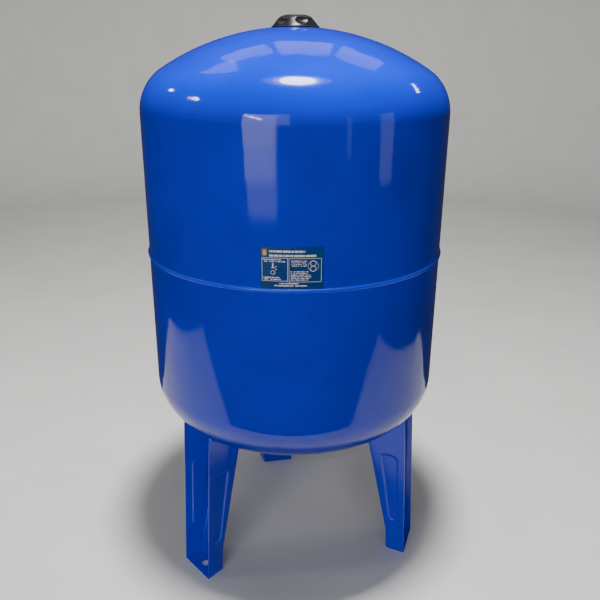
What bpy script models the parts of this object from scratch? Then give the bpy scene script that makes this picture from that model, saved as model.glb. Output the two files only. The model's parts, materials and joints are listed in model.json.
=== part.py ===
"""Floor-standing expansion vessel: a two-shell steel tank on three channel legs, with a replaceable
membrane clamped under a bolted bottom flange and an air valve under a screw cap on the dome.

Metres, +Z up. The origin is on the tank's axis at floor level; the data label faces -Y.
"""

import math

import bmesh
import bpy
from mathutils import Matrix, Vector

# Driving dimensions -----------------------------------------------------------------------------
GAP = 0.0003  # clearance kept between pieces that touch
OVERSHOOT = 0.010  # how far a cutter runs past what it cuts
SHEET = 0.0015  # wall of the tank shells

TANK_RADIUS = 0.225
TANK_MIDDLE_Z = 0.519
HALF_CYLINDER = 0.204
KNUCKLE_RADIUS = 0.0718
CROWN_RADIUS = 0.3562
TANK_SIDES = 48

SEAM_Z = 0.520
SEAM_HEIGHT = 0.0058
SEAM_STANDOUT = 0.0026
UPPER_RIM_Z = 0.519
JOGGLE_OVERLAP = 0.016
JOGGLE_RUN = 0.003  # height over which the lower shell's inner face steps in

LEG_AZIMUTHS = {"front_left": -49.2, "right": 70.8, "rear": 190.8}  # degrees from -Y towards +X
LEG_SHEET = 0.002
LEG_KINK_Z = 0.035
LEG_BLANK_TOP = 0.27
LEG_BEND_RADIUS = 0.004
FREE_EDGE_R = (0.2113, 0.2014)  # radius of the free edges at the floor and at LEG_GAUGE_Z
FREE_EDGE_W = (0.0335, 0.0353)  # half width there
WEB_R = (0.1785, 0.1765, 0.139)  # radius of the web at the floor, the kink and LEG_GAUGE_Z
WEB_W = (0.029, 0.0285, 0.026)
LEG_GAUGE_Z = 0.2
RIB_DEPTH = 0.0016
RIB_DRAFT = 0.0014
RIB_CORNERS = ((0.011, 0.187, 0.010), (0.0415, 0.187, 0.010), (0.0275, 0.059, 0.008), (0.011, 0.059, 0.008))
ANCHOR_R = 0.1945
ANCHOR_HOLE_RADIUS = 0.007
LEG_BEAD_RADIUS = 0.002

SEAT_RADIUS = 0.077  # flat seat pressed into the bottom head for the flange
NECK_RADIUS = 0.050
BOLT_CIRCLE_RADIUS = 0.0605
BOLT_COUNT = 6
BOLT_RADIUS = 0.004
HEX_AF = 0.013
FLANGE_RADIUS = 0.0725
FLANGE_THICK = 0.004
FLANGE_CHAMFER = 0.0008
RING_RADIUS = 0.0715
RING_THICK = 0.004
BOLT_HEAD = 0.005
BOLT_POINT = 0.001  # chamfer at the bolt's end
BOLT_SPARE = 0.003  # length of bolt left under the nut
WASHER_RADIUS = 0.008
WASHER_THICK = 0.0016
NUT_THICK = 0.0065
LIP_RADIUS = 0.055
LIP_THICK = 0.0025
NIPPLE_RADIUS = 0.0166
NIPPLE_BORE = 0.013
NIPPLE_END_Z = 0.158
NIPPLE_CHAMFER = 0.0012
NIPPLE_BEAD = ((0.0, 0.0), (0.0038, 0.0), (0.0014, -0.0014), (0.0, -0.0038))  # from the fillet's root
BLADDER_WALL = 0.002
BLADDER_RADIUS = 0.165
BLADDER_TOP_Z = 0.742
BLADDER_CROWN = 0.10  # height of the bag's domed top
BLADDER_SHOULDER_Z = 0.31
BLADDER_THROAT = ((0.142, 0.271), (0.090, 0.240))  # (radius, z) between the shoulder and the neck
THROAT_INSET = (0.0012, 0.0020)  # from there to the inner face
BLADDER_NECK_RADIUS = 0.0485
BLADDER_NECK_Z = (0.226, 0.2275)  # where the neck begins, outside and inside

BOSS_RADIUS = 0.015
BOSS_TOP_Z = 0.8475
BOSS_FLOOR_Z = 0.837
BOSS_BOTTOM_Z = 0.832
BOSS_RECESS_RADIUS = 0.010
BOSS_HOLE_RADIUS = 0.0045
BOSS_CHAMFER = 0.0006
BOSS_BEAD = ((0.0, 0.0026), (0.0014, 0.0016), (0.0034, 0.0001), (0.0, 0.0001))  # from the fillet's root
GASKET_RADIUS = 0.0085
GASKET_THICK = 0.0012
STEM_TOP_Z = 0.8512
STEM_BOTTOM_Z = 0.829
STEM_RADIUS = 0.0039
STEM_FOOT_RADIUS = 0.0042
STEM_BORE = 0.0026
STEM_CHAMFER = 0.0004
STEM_HEX_AF = 0.015
STEM_HEX_THICK = 0.0035
CORE_TOP_Z = 0.8505
CORE_FLOOR_Z = 0.835
CORE_FLOOR_THICK = 0.002
CORE_BORE = 0.0019
PIN_RADIUS = 0.0006
PIN_TOP_Z = 0.8508
PIN_COLLAR_RADIUS = 0.0016
PIN_COLLAR_Z = (0.847, 0.848)
PIN_DISC_Z = (0.8312, 0.8327)
PIN_SEAL_RADIUS = 0.002
PIN_SEAL_Z = (0.833, 0.8347)
SPRING_WIRE = 0.0002
SPRING_RADIUS = 0.00125
SPRING_TURNS = 6

CAP_TOP_Z = 0.8547
CAP_CEILING_Z = 0.852
CAP_OUTSIDE = (  # (radius, z) from the middle of the top to the rim
    (0.0, CAP_TOP_Z),
    (0.0145, CAP_TOP_Z),
    (0.0185, 0.8540),
    (0.0219, 0.8522),
    (0.0244, 0.8503),
    (0.0270, 0.8475),
    (0.0294, 0.8445),
    (0.0318, 0.8412),
    (0.0338, 0.8396),
    (0.0345, 0.8384),
)
CAP_HOLLOW = (  # from the rim up inside the skirt and down the outside of the threaded sleeve
    (0.0315, 0.8384),
    (0.0312, 0.8413),
    (0.0225, 0.8413),
    (0.0225, 0.8465),
    (0.0195, 0.8516),
    (0.0178, CAP_CEILING_Z),
)
SLEEVE_LOW_Z = 0.8432
SLEEVE_PLAY = 0.0004  # between the cap's sleeve and the boss
CAP_SEAL_RADII = (0.024, 0.030)
CAP_SEAL_Z = (0.8391, 0.841)
DIMPLE_COUNT = 6
DIMPLE_FIRST = 18.0  # degrees from -Y towards +X
DIMPLE_NORMAL = (0.757, 0.0, 0.653)  # out of the sloping side
DIMPLE_REST = (0.0268, 0.0, 0.8478)  # where a dimple meets it
DIMPLE_STANDOFF = 0.0034
DIMPLE_SIZE = (0.006, 0.0151, 0.0091)  # half sizes along the normal, across and along the slope

LABEL_ARC = (-0.0432, 0.0368)
LABEL_Z = (0.5232, 0.5787)
LABEL_THICK = 0.0003

# Colours (linear) -------------------------------------------------------------------------------
BLUE_PAINT = (0.008, 0.075, 0.50)
BLACK_PLASTIC = (0.012, 0.012, 0.013)
ZINC = (0.56, 0.57, 0.58)
BRASS = (0.60, 0.42, 0.13)
EPDM = (0.02, 0.02, 0.022)
LABEL_BLUE = (0.012, 0.06, 0.16)


def clear_scene():
    for obj in list(bpy.data.objects):
        bpy.data.objects.remove(obj, do_unlink=True)


def make_material(name, color, roughness, metallic):
    material = bpy.data.materials.new(name)
    material.use_nodes = True
    shader = material.node_tree.nodes["Principled BSDF"]
    shader.inputs["Base Color"].default_value = (*color, 1.0)
    shader.inputs["Roughness"].default_value = roughness
    shader.inputs["Metallic"].default_value = metallic
    material.diffuse_color = (*color, 1.0)
    return material


def finish_mesh(name, bm, material, smooth_angle=35.0):
    """Closes the bmesh into a named object, with round faces shaded smooth."""
    bmesh.ops.remove_doubles(bm, verts=bm.verts, dist=1e-7)
    bmesh.ops.recalc_face_normals(bm, faces=bm.faces)
    mesh = bpy.data.meshes.new(name)
    bm.to_mesh(mesh)
    bm.free()
    mesh.shade_smooth()
    mesh.set_sharp_from_angle(angle=math.radians(smooth_angle))
    obj = bpy.data.objects.new(name, mesh)
    bpy.context.scene.collection.objects.link(obj)
    mesh.materials.append(material)
    return obj


def hex_factor(angle):
    """Ratio of a hexagon's radius to half its width across flats, in the direction of the angle."""
    return 1.0 / math.cos((angle % (math.pi / 3)) - math.pi / 6)


def turned_bmesh(profile, sides):
    """Turns a profile of (radius, z) about Z. A third item "hex" makes that level a hexagon, and
    the radius is then half the width across flats. A profile that starts and ends on the axis is
    a solid, and any other is closed into a ring."""
    bm = bmesh.new()
    on_axis = profile[0][0] == 0.0 and profile[-1][0] == 0.0
    rings = []
    for point in profile:
        ring = []
        for side in range(sides):
            angle = 2 * math.pi * side / sides
            radius = point[0] * (hex_factor(angle) if len(point) == 3 else 1.0)
            ring.append(bm.verts.new((radius * math.sin(angle), -radius * math.cos(angle), point[1])))
        rings.append(ring)
    pairs = list(zip(rings, rings[1:]))
    if not on_axis:
        pairs.append((rings[-1], rings[0]))
    for upper, lower in pairs:
        for side in range(sides):
            after = (side + 1) % sides
            bm.faces.new((upper[side], upper[after], lower[after], lower[side]))
    bmesh.ops.remove_doubles(bm, verts=bm.verts, dist=1e-7)
    return bm


def turned(name, profile, sides, material, smooth_angle=35.0):
    return finish_mesh(name, turned_bmesh(profile, sides), material, smooth_angle)


def helper(name, bm):
    """A cutter or a tool body: seen as wires and left out of the model."""
    obj = finish_mesh(name, bm, bpy.data.materials["tool"])
    obj.hide_render = True
    obj.display_type = "WIRE"
    return obj


def combine(obj, tool, operation):
    modifier = obj.modifiers.new(tool.name, "BOOLEAN")
    modifier.operation = operation
    modifier.solver = "EXACT"
    modifier.object = tool


def cylinders_bmesh(centres, radius, z_low, z_high, sides):
    """Upright round cutters, one at each centre."""
    bm = bmesh.new()
    for x, y in centres:
        place = Matrix.Translation((x, y, (z_low + z_high) / 2))
        bmesh.ops.create_cone(
            bm,
            cap_ends=True,
            segments=sides,
            radius1=radius,
            radius2=radius,
            depth=z_high - z_low,
            matrix=place,
        )
    return bm


# The tank ---------------------------------------------------------------------------------------
KNUCKLE_CENTRE_R = TANK_RADIUS - KNUCKLE_RADIUS
KNUCKLE_ANGLE = math.asin(KNUCKLE_CENTRE_R / (CROWN_RADIUS - KNUCKLE_RADIUS))
CROWN_DROP = (CROWN_RADIUS - KNUCKLE_RADIUS) * math.cos(KNUCKLE_ANGLE)
DOME_Z = TANK_MIDDLE_Z + HALF_CYLINDER - CROWN_DROP + CROWN_RADIUS


def head_points(offset, start_r, crown_steps, knuckle_steps):
    """(radius, height above the tank's middle) along a head, from start_r out to the cylinder,
    offset outward by a distance. The crown and the knuckle keep their centres."""
    crown = CROWN_RADIUS + offset
    knuckle = KNUCKLE_RADIUS + offset
    first = math.asin(start_r / crown)
    points = []
    for i in range(crown_steps):
        angle = first + (KNUCKLE_ANGLE - first) * i / crown_steps
        points.append((crown * math.sin(angle), HALF_CYLINDER - CROWN_DROP + crown * math.cos(angle)))
    for i in range(knuckle_steps + 1):
        angle = KNUCKLE_ANGLE + (math.pi / 2 - KNUCKLE_ANGLE) * i / knuckle_steps
        radius = KNUCKLE_CENTRE_R + knuckle * math.sin(angle)
        points.append((radius, HALF_CYLINDER + knuckle * math.cos(angle)))
    return points


def bottom_head_z(radius, offset=0.0):
    """Height of the bottom head's outer face at a radius, moved out of the tank by the offset."""
    crown = CROWN_RADIUS + offset
    knuckle = KNUCKLE_RADIUS + offset
    if radius < crown * math.sin(KNUCKLE_ANGLE):
        height = HALF_CYLINDER - CROWN_DROP + math.sqrt(crown**2 - radius**2)
    else:
        height = HALF_CYLINDER + math.sqrt(max(0.0, knuckle**2 - (radius - KNUCKLE_CENTRE_R) ** 2))
    return TANK_MIDDLE_Z - height


SEAT_Z = bottom_head_z(SEAT_RADIUS)


def build_upper_shell(paint):
    outer = [(r, TANK_MIDDLE_Z + h) for r, h in head_points(0.0, BOSS_RADIUS + GAP, 5, 5)]
    inner = [(r, TANK_MIDDLE_Z + h) for r, h in head_points(-SHEET, BOSS_RADIUS + GAP, 5, 5)]
    rim = [(TANK_RADIUS, UPPER_RIM_Z), (TANK_RADIUS - SHEET, UPPER_RIM_Z)]
    profile = outer + rim + inner[::-1]
    turned("upper_shell", profile, TANK_SIDES, paint)


def build_lower_shell(paint):
    """The lower half: its joggled rim slips inside the upper one, and the flange seat is flat."""
    rim = UPPER_RIM_Z - GAP
    step = SHEET + GAP
    outer = [(r, TANK_MIDDLE_Z - h) for r, h in head_points(0.0, SEAT_RADIUS, 4, 5)][::-1]
    inner = [(r, TANK_MIDDLE_Z - h) for r, h in head_points(-SHEET, SEAT_RADIUS, 4, 5)]
    seat_top = SEAT_Z + SHEET
    profile = [(TANK_RADIUS - step, rim + JOGGLE_OVERLAP), (TANK_RADIUS - step, rim), (TANK_RADIUS, rim)]
    profile += outer + [(NECK_RADIUS, SEAT_Z), (NECK_RADIUS, seat_top)] + inner
    profile += [
        (TANK_RADIUS - SHEET, rim - SHEET - JOGGLE_RUN),
        (TANK_RADIUS - SHEET - step, rim - SHEET),
        (TANK_RADIUS - SHEET - step, rim + JOGGLE_OVERLAP),
    ]
    shell = turned("lower_shell", profile, TANK_SIDES, paint)
    combine(shell, bpy.data.objects["bolt_hole_cutter"], "DIFFERENCE")


def build_girth_weld(paint):
    """A bead over the edge where the two shells meet, half an ellipse in section."""
    inside = TANK_RADIUS + GAP
    profile = [(inside, SEAM_Z + SEAM_HEIGHT / 2)]
    for i in range(1, 5):
        angle = math.pi * i / 5
        reach = inside + (SEAM_STANDOUT - GAP) * math.sin(angle)
        profile.append((reach, SEAM_Z + SEAM_HEIGHT / 2 * math.cos(angle)))
    profile.append((inside, SEAM_Z - SEAM_HEIGHT / 2))
    turned("girth_weld", profile, TANK_SIDES, paint)


def build_label(film):
    """A printed film wrapped on the cylinder above the girth weld."""
    steps = 12
    bm = bmesh.new()
    columns = []
    for i in range(steps + 1):
        angle = (LABEL_ARC[0] + (LABEL_ARC[1] - LABEL_ARC[0]) * i / steps) / TANK_RADIUS
        column = []
        for reach, z in ((GAP, 0), (GAP, 1), (GAP + LABEL_THICK, 1), (GAP + LABEL_THICK, 0)):
            radius = TANK_RADIUS + reach
            column.append(bm.verts.new((radius * math.sin(angle), -radius * math.cos(angle), LABEL_Z[z])))
        columns.append(column)
    for near, far in zip(columns, columns[1:]):
        for i in range(4):
            j = (i + 1) % 4
            bm.faces.new((near[i], near[j], far[j], far[i]))
    bm.faces.new(columns[0])
    bm.faces.new(columns[-1])
    finish_mesh("data_label", bm, film)


# The legs ---------------------------------------------------------------------------------------
def leg_section(z):
    """(free edge radius, half width, web radius, half width) of a leg's outer faces at a height."""
    rise = z / LEG_GAUGE_Z
    free_r = FREE_EDGE_R[0] + (FREE_EDGE_R[1] - FREE_EDGE_R[0]) * rise
    free_w = FREE_EDGE_W[0] + (FREE_EDGE_W[1] - FREE_EDGE_W[0]) * rise
    if z < LEG_KINK_Z:
        part = z / LEG_KINK_Z
        web_r = WEB_R[0] + (WEB_R[1] - WEB_R[0]) * part
        web_w = WEB_W[0] + (WEB_W[1] - WEB_W[0]) * part
    else:
        part = (z - LEG_KINK_Z) / (LEG_GAUGE_Z - LEG_KINK_Z)
        web_r = WEB_R[1] + (WEB_R[2] - WEB_R[1]) * part
        web_w = WEB_W[1] + (WEB_W[2] - WEB_W[1]) * part
    return free_r, free_w, web_r, web_w


def leg_loops(levels, inset, reach):
    """Loops of a leg's section at each height. Inset moves its faces into the channel, and reach
    runs the flanges past the free edge. In a leg's own axes, X is outward and Y is across."""
    loops = []
    for z in levels:
        free_r, free_w, web_r, web_w = leg_section(z)
        splay = (free_w - web_w) / (free_r - web_r)
        end_r = free_r + reach
        end_w = free_w + splay * reach - inset
        fold_r = web_r + inset
        fold_w = web_w + splay * inset - inset
        loops.append([(fold_r, -fold_w, z), (end_r, -end_w, z), (end_r, end_w, z), (fold_r, fold_w, z)])
    return loops


def loft_bmesh(loops):
    """A closed solid through loops of the same length, one above another."""
    bm = bmesh.new()
    rings = [[bm.verts.new(point) for point in loop] for loop in loops]
    bm.faces.new(rings[0])
    bm.faces.new(rings[-1])
    for lower, upper in zip(rings, rings[1:]):
        for i in range(len(lower)):
            j = (i + 1) % len(lower)
            bm.faces.new((lower[i], lower[j], upper[j], upper[i]))
    return bm


def round_web_edges(bm, radius, segments):
    """Rounds the two folds between the web and the flanges, which are a loop's first and last edge
    columns: the edges whose ends are both the corner nearest the tank's axis."""
    folds = []
    for edge in bm.edges:
        ends = [vert.co for vert in edge.verts]
        upright = abs(ends[0].z - ends[1].z) > 0.01
        if upright and all(co.x < leg_section(co.z)[2] + LEG_SHEET + 0.0005 for co in ends):
            folds.append(edge)
    bmesh.ops.bevel(bm, geom=folds, offset=radius, segments=segments, profile=0.5, affect="EDGES")


def rounded_outline(corners, steps, shrink):
    """Points round a polygon of (s, z, radius) corners, with its corners as arcs, and every side
    moved inward by shrink."""
    count = len(corners)
    points = []
    for i in range(count):
        here = Vector(corners[i][:2])
        before = (Vector(corners[i - 1][:2]) - here).normalized()
        after = (Vector(corners[(i + 1) % count][:2]) - here).normalized()
        half = before.angle(after) / 2
        centre = here + (before + after).normalized() * corners[i][2] / math.sin(half)
        radius = corners[i][2] - shrink
        first = here + before * corners[i][2] / math.tan(half) - centre
        last = here + after * corners[i][2] / math.tan(half) - centre
        turn = first.angle(last)
        sign = 1.0 if first.x * last.y - first.y * last.x > 0 else -1.0
        for k in range(steps + 1):
            spin = Matrix.Rotation(sign * turn * k / steps, 2)
            points.append(centre + (spin @ first).normalized() * radius)
    return points


def flange_point(s, z, depth, side):
    """A point on a leg's flange: s in from the free edge, at height z, depth into the channel from
    the outer face. Side is +1 or -1."""
    free_r, free_w, web_r, web_w = leg_section(z)
    along = Vector((web_r - free_r, web_w - free_w)).normalized()
    inward = Vector((-along.y, along.x))
    place = Vector((free_r, free_w)) + along * s + inward * depth
    return (place.x, side * place.y, z)


def rib_bmesh(depth_a, shrink_a, depth_b, shrink_b):
    """Both flanges' rib bodies, between two depths into the channel."""
    bm = bmesh.new()
    for side in (1, -1):
        low = [flange_point(p.x, p.y, depth_a, side) for p in rounded_outline(RIB_CORNERS, 3, shrink_a)]
        high = [flange_point(p.x, p.y, depth_b, side) for p in rounded_outline(RIB_CORNERS, 3, shrink_b)]
        verts_low = [bm.verts.new(point) for point in low]
        verts_high = [bm.verts.new(point) for point in high]
        bm.faces.new(verts_low)
        bm.faces.new(verts_high)
        for i in range(len(low)):
            j = (i + 1) % len(low)
            bm.faces.new((verts_low[i], verts_low[j], verts_high[j], verts_high[i]))
    return bm


def place_leg(obj, azimuth):
    """Turns a piece made with X outward so that it points from the axis at the azimuth from -Y."""
    obj.rotation_euler = (0.0, 0.0, math.radians(azimuth - 90.0))


def build_leg_tools():
    """Bodies that shape a leg, in the leg's own axes, with what each does to the blank."""
    levels = (LEG_SHEET, LEG_KINK_Z, LEG_BLANK_TOP + OVERSHOOT)
    channel = loft_bmesh(leg_loops(levels, LEG_SHEET, OVERSHOOT))
    round_web_edges(channel, LEG_BEND_RADIUS - LEG_SHEET, 2)
    pads = rib_bmesh(LEG_SHEET / 2, 0.0, LEG_SHEET + RIB_DEPTH, RIB_DRAFT)
    recess = rib_bmesh(-LEG_SHEET / 2, 0.0, RIB_DEPTH, RIB_DRAFT)
    hole = cylinders_bmesh([(ANCHOR_R, 0.0)], ANCHOR_HOLE_RADIUS, -OVERSHOOT, OVERSHOOT, 16)
    return (
        (helper("leg_channel_cutter", channel), "DIFFERENCE"),
        (helper("leg_rib_pads", pads), "UNION"),
        (helper("leg_rib_recess", recess), "DIFFERENCE"),
        (helper("anchor_hole_cutter", hole), "DIFFERENCE"),
    )


def build_head_cutter():
    """The bottom head's outer face, moved out by the gap: it trims the tops of the legs."""
    head = [(r, TANK_MIDDLE_Z - h) for r, h in head_points(GAP, 0.0, 6, 6)]
    lid = [(head[-1][0], TANK_MIDDLE_Z), (0.0, TANK_MIDDLE_Z)]
    return helper("head_cutter", turned_bmesh(head + lid, TANK_SIDES))


def build_leg(place, azimuth, tools, head_cutter, paint):
    bm = loft_bmesh(leg_loops((0.0, LEG_KINK_Z, LEG_BLANK_TOP), 0.0, 0.0))
    round_web_edges(bm, LEG_BEND_RADIUS, 3)
    leg = finish_mesh("leg_" + place, bm, paint)
    place_leg(leg, azimuth)
    for tool, operation in tools:
        copy = tool.copy()
        copy.name = f"{tool.name}_{place}"
        bpy.context.scene.collection.objects.link(copy)
        place_leg(copy, azimuth)
        combine(leg, copy, operation)
    combine(leg, head_cutter, "DIFFERENCE")


def leg_top_point(along, side, clear):
    """Where the bead runs at a leg's top: along is 0 at the free edge, 1 at the web's fold, and 2 at
    the middle of the web. Clear is the distance kept from the leg's face and from the head. Over
    the last eighth before the fold the bead swings out round it."""
    z = LEG_BLANK_TOP
    for _ in range(12):
        free_r, free_w, web_r, web_w = leg_section(z)
        if along <= 1.0:
            r = free_r + (web_r - free_r) * along
            w = free_w + (web_w - free_w) * along + clear
            r -= clear * max(0.0, along * 8 - 7)
        else:
            r = web_r - clear
            w = (web_w + clear) * (2.0 - along)
        z = bottom_head_z(math.hypot(r, w), clear)
    return (r, side * w, z)


def build_leg_weld(place, azimuth, paint):
    clear = LEG_BEAD_RADIUS + GAP
    alongs = [0.06, 0.2, 0.35, 0.5, 0.65, 0.8, 0.9, 0.97, 1.05, 1.25, 1.5, 1.75]
    points = [leg_top_point(a, 1, clear) for a in alongs] + [leg_top_point(2.0, 1, clear)]
    points += [leg_top_point(a, -1, clear) for a in reversed(alongs)]
    curve = bpy.data.curves.new("leg_weld_" + place, "CURVE")
    curve.dimensions = "3D"
    curve.bevel_depth = LEG_BEAD_RADIUS
    curve.bevel_resolution = 1
    curve.use_fill_caps = True
    spline = curve.splines.new("POLY")
    spline.points.add(len(points) - 1)
    for slot, point in zip(spline.points, points):
        slot.co = (*point, 1.0)
    obj = bpy.data.objects.new("leg_weld_" + place, curve)
    bpy.context.scene.collection.objects.link(obj)
    curve.materials.append(paint)
    place_leg(obj, azimuth)


# The bottom connection --------------------------------------------------------------------------
RING_Z = SEAT_Z + SHEET + GAP
BOLT_HEAD_Z = RING_Z + RING_THICK + GAP
LIP_Z = SEAT_Z - GAP
FLANGE_Z = LIP_Z - LIP_THICK - GAP
WASHER_Z = FLANGE_Z - FLANGE_THICK - GAP
NUT_Z = WASHER_Z - WASHER_THICK - GAP
BOLT_END_Z = NUT_Z - NUT_THICK - BOLT_SPARE


def bolt_places():
    """Centres of the flange bolts, the first one half a step round from the front."""
    places = []
    for i in range(BOLT_COUNT):
        angle = 2 * math.pi * (i + 0.5) / BOLT_COUNT
        places.append((BOLT_CIRCLE_RADIUS * math.sin(angle), -BOLT_CIRCLE_RADIUS * math.cos(angle)))
    return places


def build_bolt_hole_cutter():
    low = WASHER_Z - OVERSHOOT
    high = BOLT_HEAD_Z + OVERSHOOT
    bm = cylinders_bmesh(bolt_places(), BOLT_RADIUS + GAP, low, high, 12)
    helper("bolt_hole_cutter", bm)


def ring_profile(inner, outer, low, high):
    return [(inner, high), (outer, high), (outer, low), (inner, low)]


def build_flange(zinc):
    section = ring_profile(NECK_RADIUS, RING_RADIUS, RING_Z, RING_Z + RING_THICK)
    ring = turned("counter_ring", section, 36, zinc)
    combine(ring, bpy.data.objects["bolt_hole_cutter"], "DIFFERENCE")
    plate_bottom = FLANGE_Z - FLANGE_THICK
    edge = FLANGE_CHAMFER
    profile = [
        (NIPPLE_RADIUS + GAP, FLANGE_Z),
        (FLANGE_RADIUS - edge, FLANGE_Z),
        (FLANGE_RADIUS, FLANGE_Z - edge),
        (FLANGE_RADIUS, plate_bottom + edge),
        (FLANGE_RADIUS - edge, plate_bottom),
        (NIPPLE_RADIUS + GAP, plate_bottom),
    ]
    plate = turned("flange_plate", profile, 36, zinc)
    combine(plate, bpy.data.objects["bolt_hole_cutter"], "DIFFERENCE")
    nipple = [
        (NIPPLE_BORE, FLANGE_Z),
        (NIPPLE_RADIUS, FLANGE_Z),
        (NIPPLE_RADIUS, NIPPLE_END_Z + NIPPLE_CHAMFER),
        (NIPPLE_RADIUS - NIPPLE_CHAMFER, NIPPLE_END_Z),
        (NIPPLE_BORE, NIPPLE_END_Z),
    ]
    turned("inlet_nipple", nipple, 24, zinc)
    fillet = [(NIPPLE_RADIUS + GAP + out, WASHER_Z + up) for out, up in NIPPLE_BEAD]
    turned("nipple_weld", fillet, 24, zinc)


def build_fasteners(zinc):
    """Six hexagon bolts down through the ring, the shell and the flange, with washers and nuts."""
    half = HEX_AF / 2
    bolt = [
        (0.0, BOLT_HEAD_Z + BOLT_HEAD),
        (half, BOLT_HEAD_Z + BOLT_HEAD, "hex"),
        (half, BOLT_HEAD_Z, "hex"),
        (BOLT_RADIUS, BOLT_HEAD_Z),
        (BOLT_RADIUS, BOLT_END_Z + BOLT_POINT),
        (BOLT_RADIUS - BOLT_POINT, BOLT_END_Z),
        (0.0, BOLT_END_Z),
    ]
    hole = BOLT_RADIUS + GAP
    washer = ring_profile(hole, WASHER_RADIUS, WASHER_Z - WASHER_THICK, WASHER_Z)
    nut = [
        (hole, NUT_Z),
        (half, NUT_Z, "hex"),
        (half, NUT_Z - NUT_THICK, "hex"),
        (hole, NUT_Z - NUT_THICK),
    ]
    for number, (x, y) in enumerate(bolt_places(), 1):
        facing = math.atan2(x, -y)
        for name, profile in (("flange_bolt", bolt), ("washer", washer), ("nut", nut)):
            piece = turned(f"{name}_{number}", profile, 12, zinc)
            piece.location = (x, y, 0.0)
            piece.rotation_euler = (0.0, 0.0, facing)


def build_bladder(rubber):
    """The membrane, part filled: a lip clamped under the shell, a neck, and a bottle-shaped bag."""
    steps = 4
    bag = BLADDER_RADIUS - BLADDER_WALL
    neck_bore = BLADDER_NECK_RADIUS - BLADDER_WALL
    angles = [math.pi / 2 * i / steps for i in range(steps + 1)]
    outer = [
        (BLADDER_RADIUS * math.sin(a), BLADDER_TOP_Z - BLADDER_CROWN * (1 - math.cos(a))) for a in angles
    ]
    outer += [(BLADDER_RADIUS, BLADDER_SHOULDER_Z), *BLADDER_THROAT, (BLADDER_NECK_RADIUS, BLADDER_NECK_Z[0])]
    lip = [
        (BLADDER_NECK_RADIUS, LIP_Z),
        (LIP_RADIUS, LIP_Z),
        (LIP_RADIUS, LIP_Z - LIP_THICK),
        (neck_bore, LIP_Z - LIP_THICK),
    ]
    inner = [(neck_bore, BLADDER_NECK_Z[1])]
    inner += [(r - THROAT_INSET[0], z + THROAT_INSET[1]) for r, z in reversed(BLADDER_THROAT)]
    inner.append((bag, BLADDER_SHOULDER_Z))
    inner += [
        (bag * math.sin(a), BLADDER_TOP_Z - BLADDER_WALL - (BLADDER_CROWN - BLADDER_WALL) * (1 - math.cos(a)))
        for a in reversed(angles)
    ]
    turned("bladder", outer + lip + inner, 32, rubber)


# The air valve and its cap ----------------------------------------------------------------------
def build_boss(paint):
    boss = [
        (BOSS_HOLE_RADIUS, BOSS_FLOOR_Z),
        (BOSS_RECESS_RADIUS, BOSS_FLOOR_Z),
        (BOSS_RECESS_RADIUS, BOSS_TOP_Z),
        (BOSS_RADIUS - BOSS_CHAMFER, BOSS_TOP_Z),
        (BOSS_RADIUS, BOSS_TOP_Z - BOSS_CHAMFER),
        (BOSS_RADIUS, BOSS_BOTTOM_Z),
        (BOSS_HOLE_RADIUS, BOSS_BOTTOM_Z),
    ]
    turned("valve_boss", boss, 32, paint)
    bead = [(BOSS_RADIUS + GAP + out, DOME_Z + up) for out, up in BOSS_BEAD]
    turned("boss_weld", bead, 32, paint)


def build_valve(brass, zinc, rubber):
    """A tyre-type valve: stem with a hexagon, gasket, core, sprung pin and the pin's seal."""
    gasket_low = BOSS_FLOOR_Z + GAP
    gasket = ring_profile(BOSS_HOLE_RADIUS, GASKET_RADIUS, gasket_low, gasket_low + GASKET_THICK)
    turned("valve_gasket", gasket, 24, rubber)
    hex_low = gasket_low + GASKET_THICK + GAP
    hex_high = hex_low + STEM_HEX_THICK
    stem = [
        (STEM_BORE, STEM_TOP_Z),
        (STEM_RADIUS - STEM_CHAMFER, STEM_TOP_Z),
        (STEM_RADIUS, STEM_TOP_Z - STEM_CHAMFER),
        (STEM_RADIUS, hex_high),
        (STEM_HEX_AF / 2, hex_high, "hex"),
        (STEM_HEX_AF / 2, hex_low, "hex"),
        (STEM_FOOT_RADIUS, hex_low),
        (STEM_FOOT_RADIUS, STEM_BOTTOM_Z),
        (STEM_BORE, STEM_BOTTOM_Z),
    ]
    turned("valve_stem", stem, 24, brass)
    floor_top = CORE_FLOOR_Z + CORE_FLOOR_THICK
    pin_hole = PIN_RADIUS + GAP
    core = [
        (CORE_BORE, CORE_TOP_Z),
        (STEM_BORE - GAP, CORE_TOP_Z),
        (STEM_BORE - GAP, CORE_FLOOR_Z),
        (pin_hole, CORE_FLOOR_Z),
        (pin_hole, floor_top),
        (CORE_BORE, floor_top),
    ]
    turned("valve_core", core, 16, brass)
    pin = [
        (0.0, PIN_TOP_Z),
        (PIN_RADIUS, PIN_TOP_Z),
        (PIN_RADIUS, PIN_COLLAR_Z[1]),
        (PIN_COLLAR_RADIUS, PIN_COLLAR_Z[1]),
        (PIN_COLLAR_RADIUS, PIN_COLLAR_Z[0]),
        (PIN_RADIUS, PIN_COLLAR_Z[0]),
        (PIN_RADIUS, PIN_DISC_Z[1]),
        (PIN_COLLAR_RADIUS, PIN_DISC_Z[1]),
        (PIN_COLLAR_RADIUS, PIN_DISC_Z[0]),
        (0.0, PIN_DISC_Z[0]),
    ]
    turned("valve_pin", pin, 12, zinc)
    turned("valve_pin_seal", ring_profile(pin_hole, PIN_SEAL_RADIUS, *PIN_SEAL_Z), 16, rubber)
    build_valve_spring(floor_top, PIN_COLLAR_Z[0], zinc)


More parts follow.
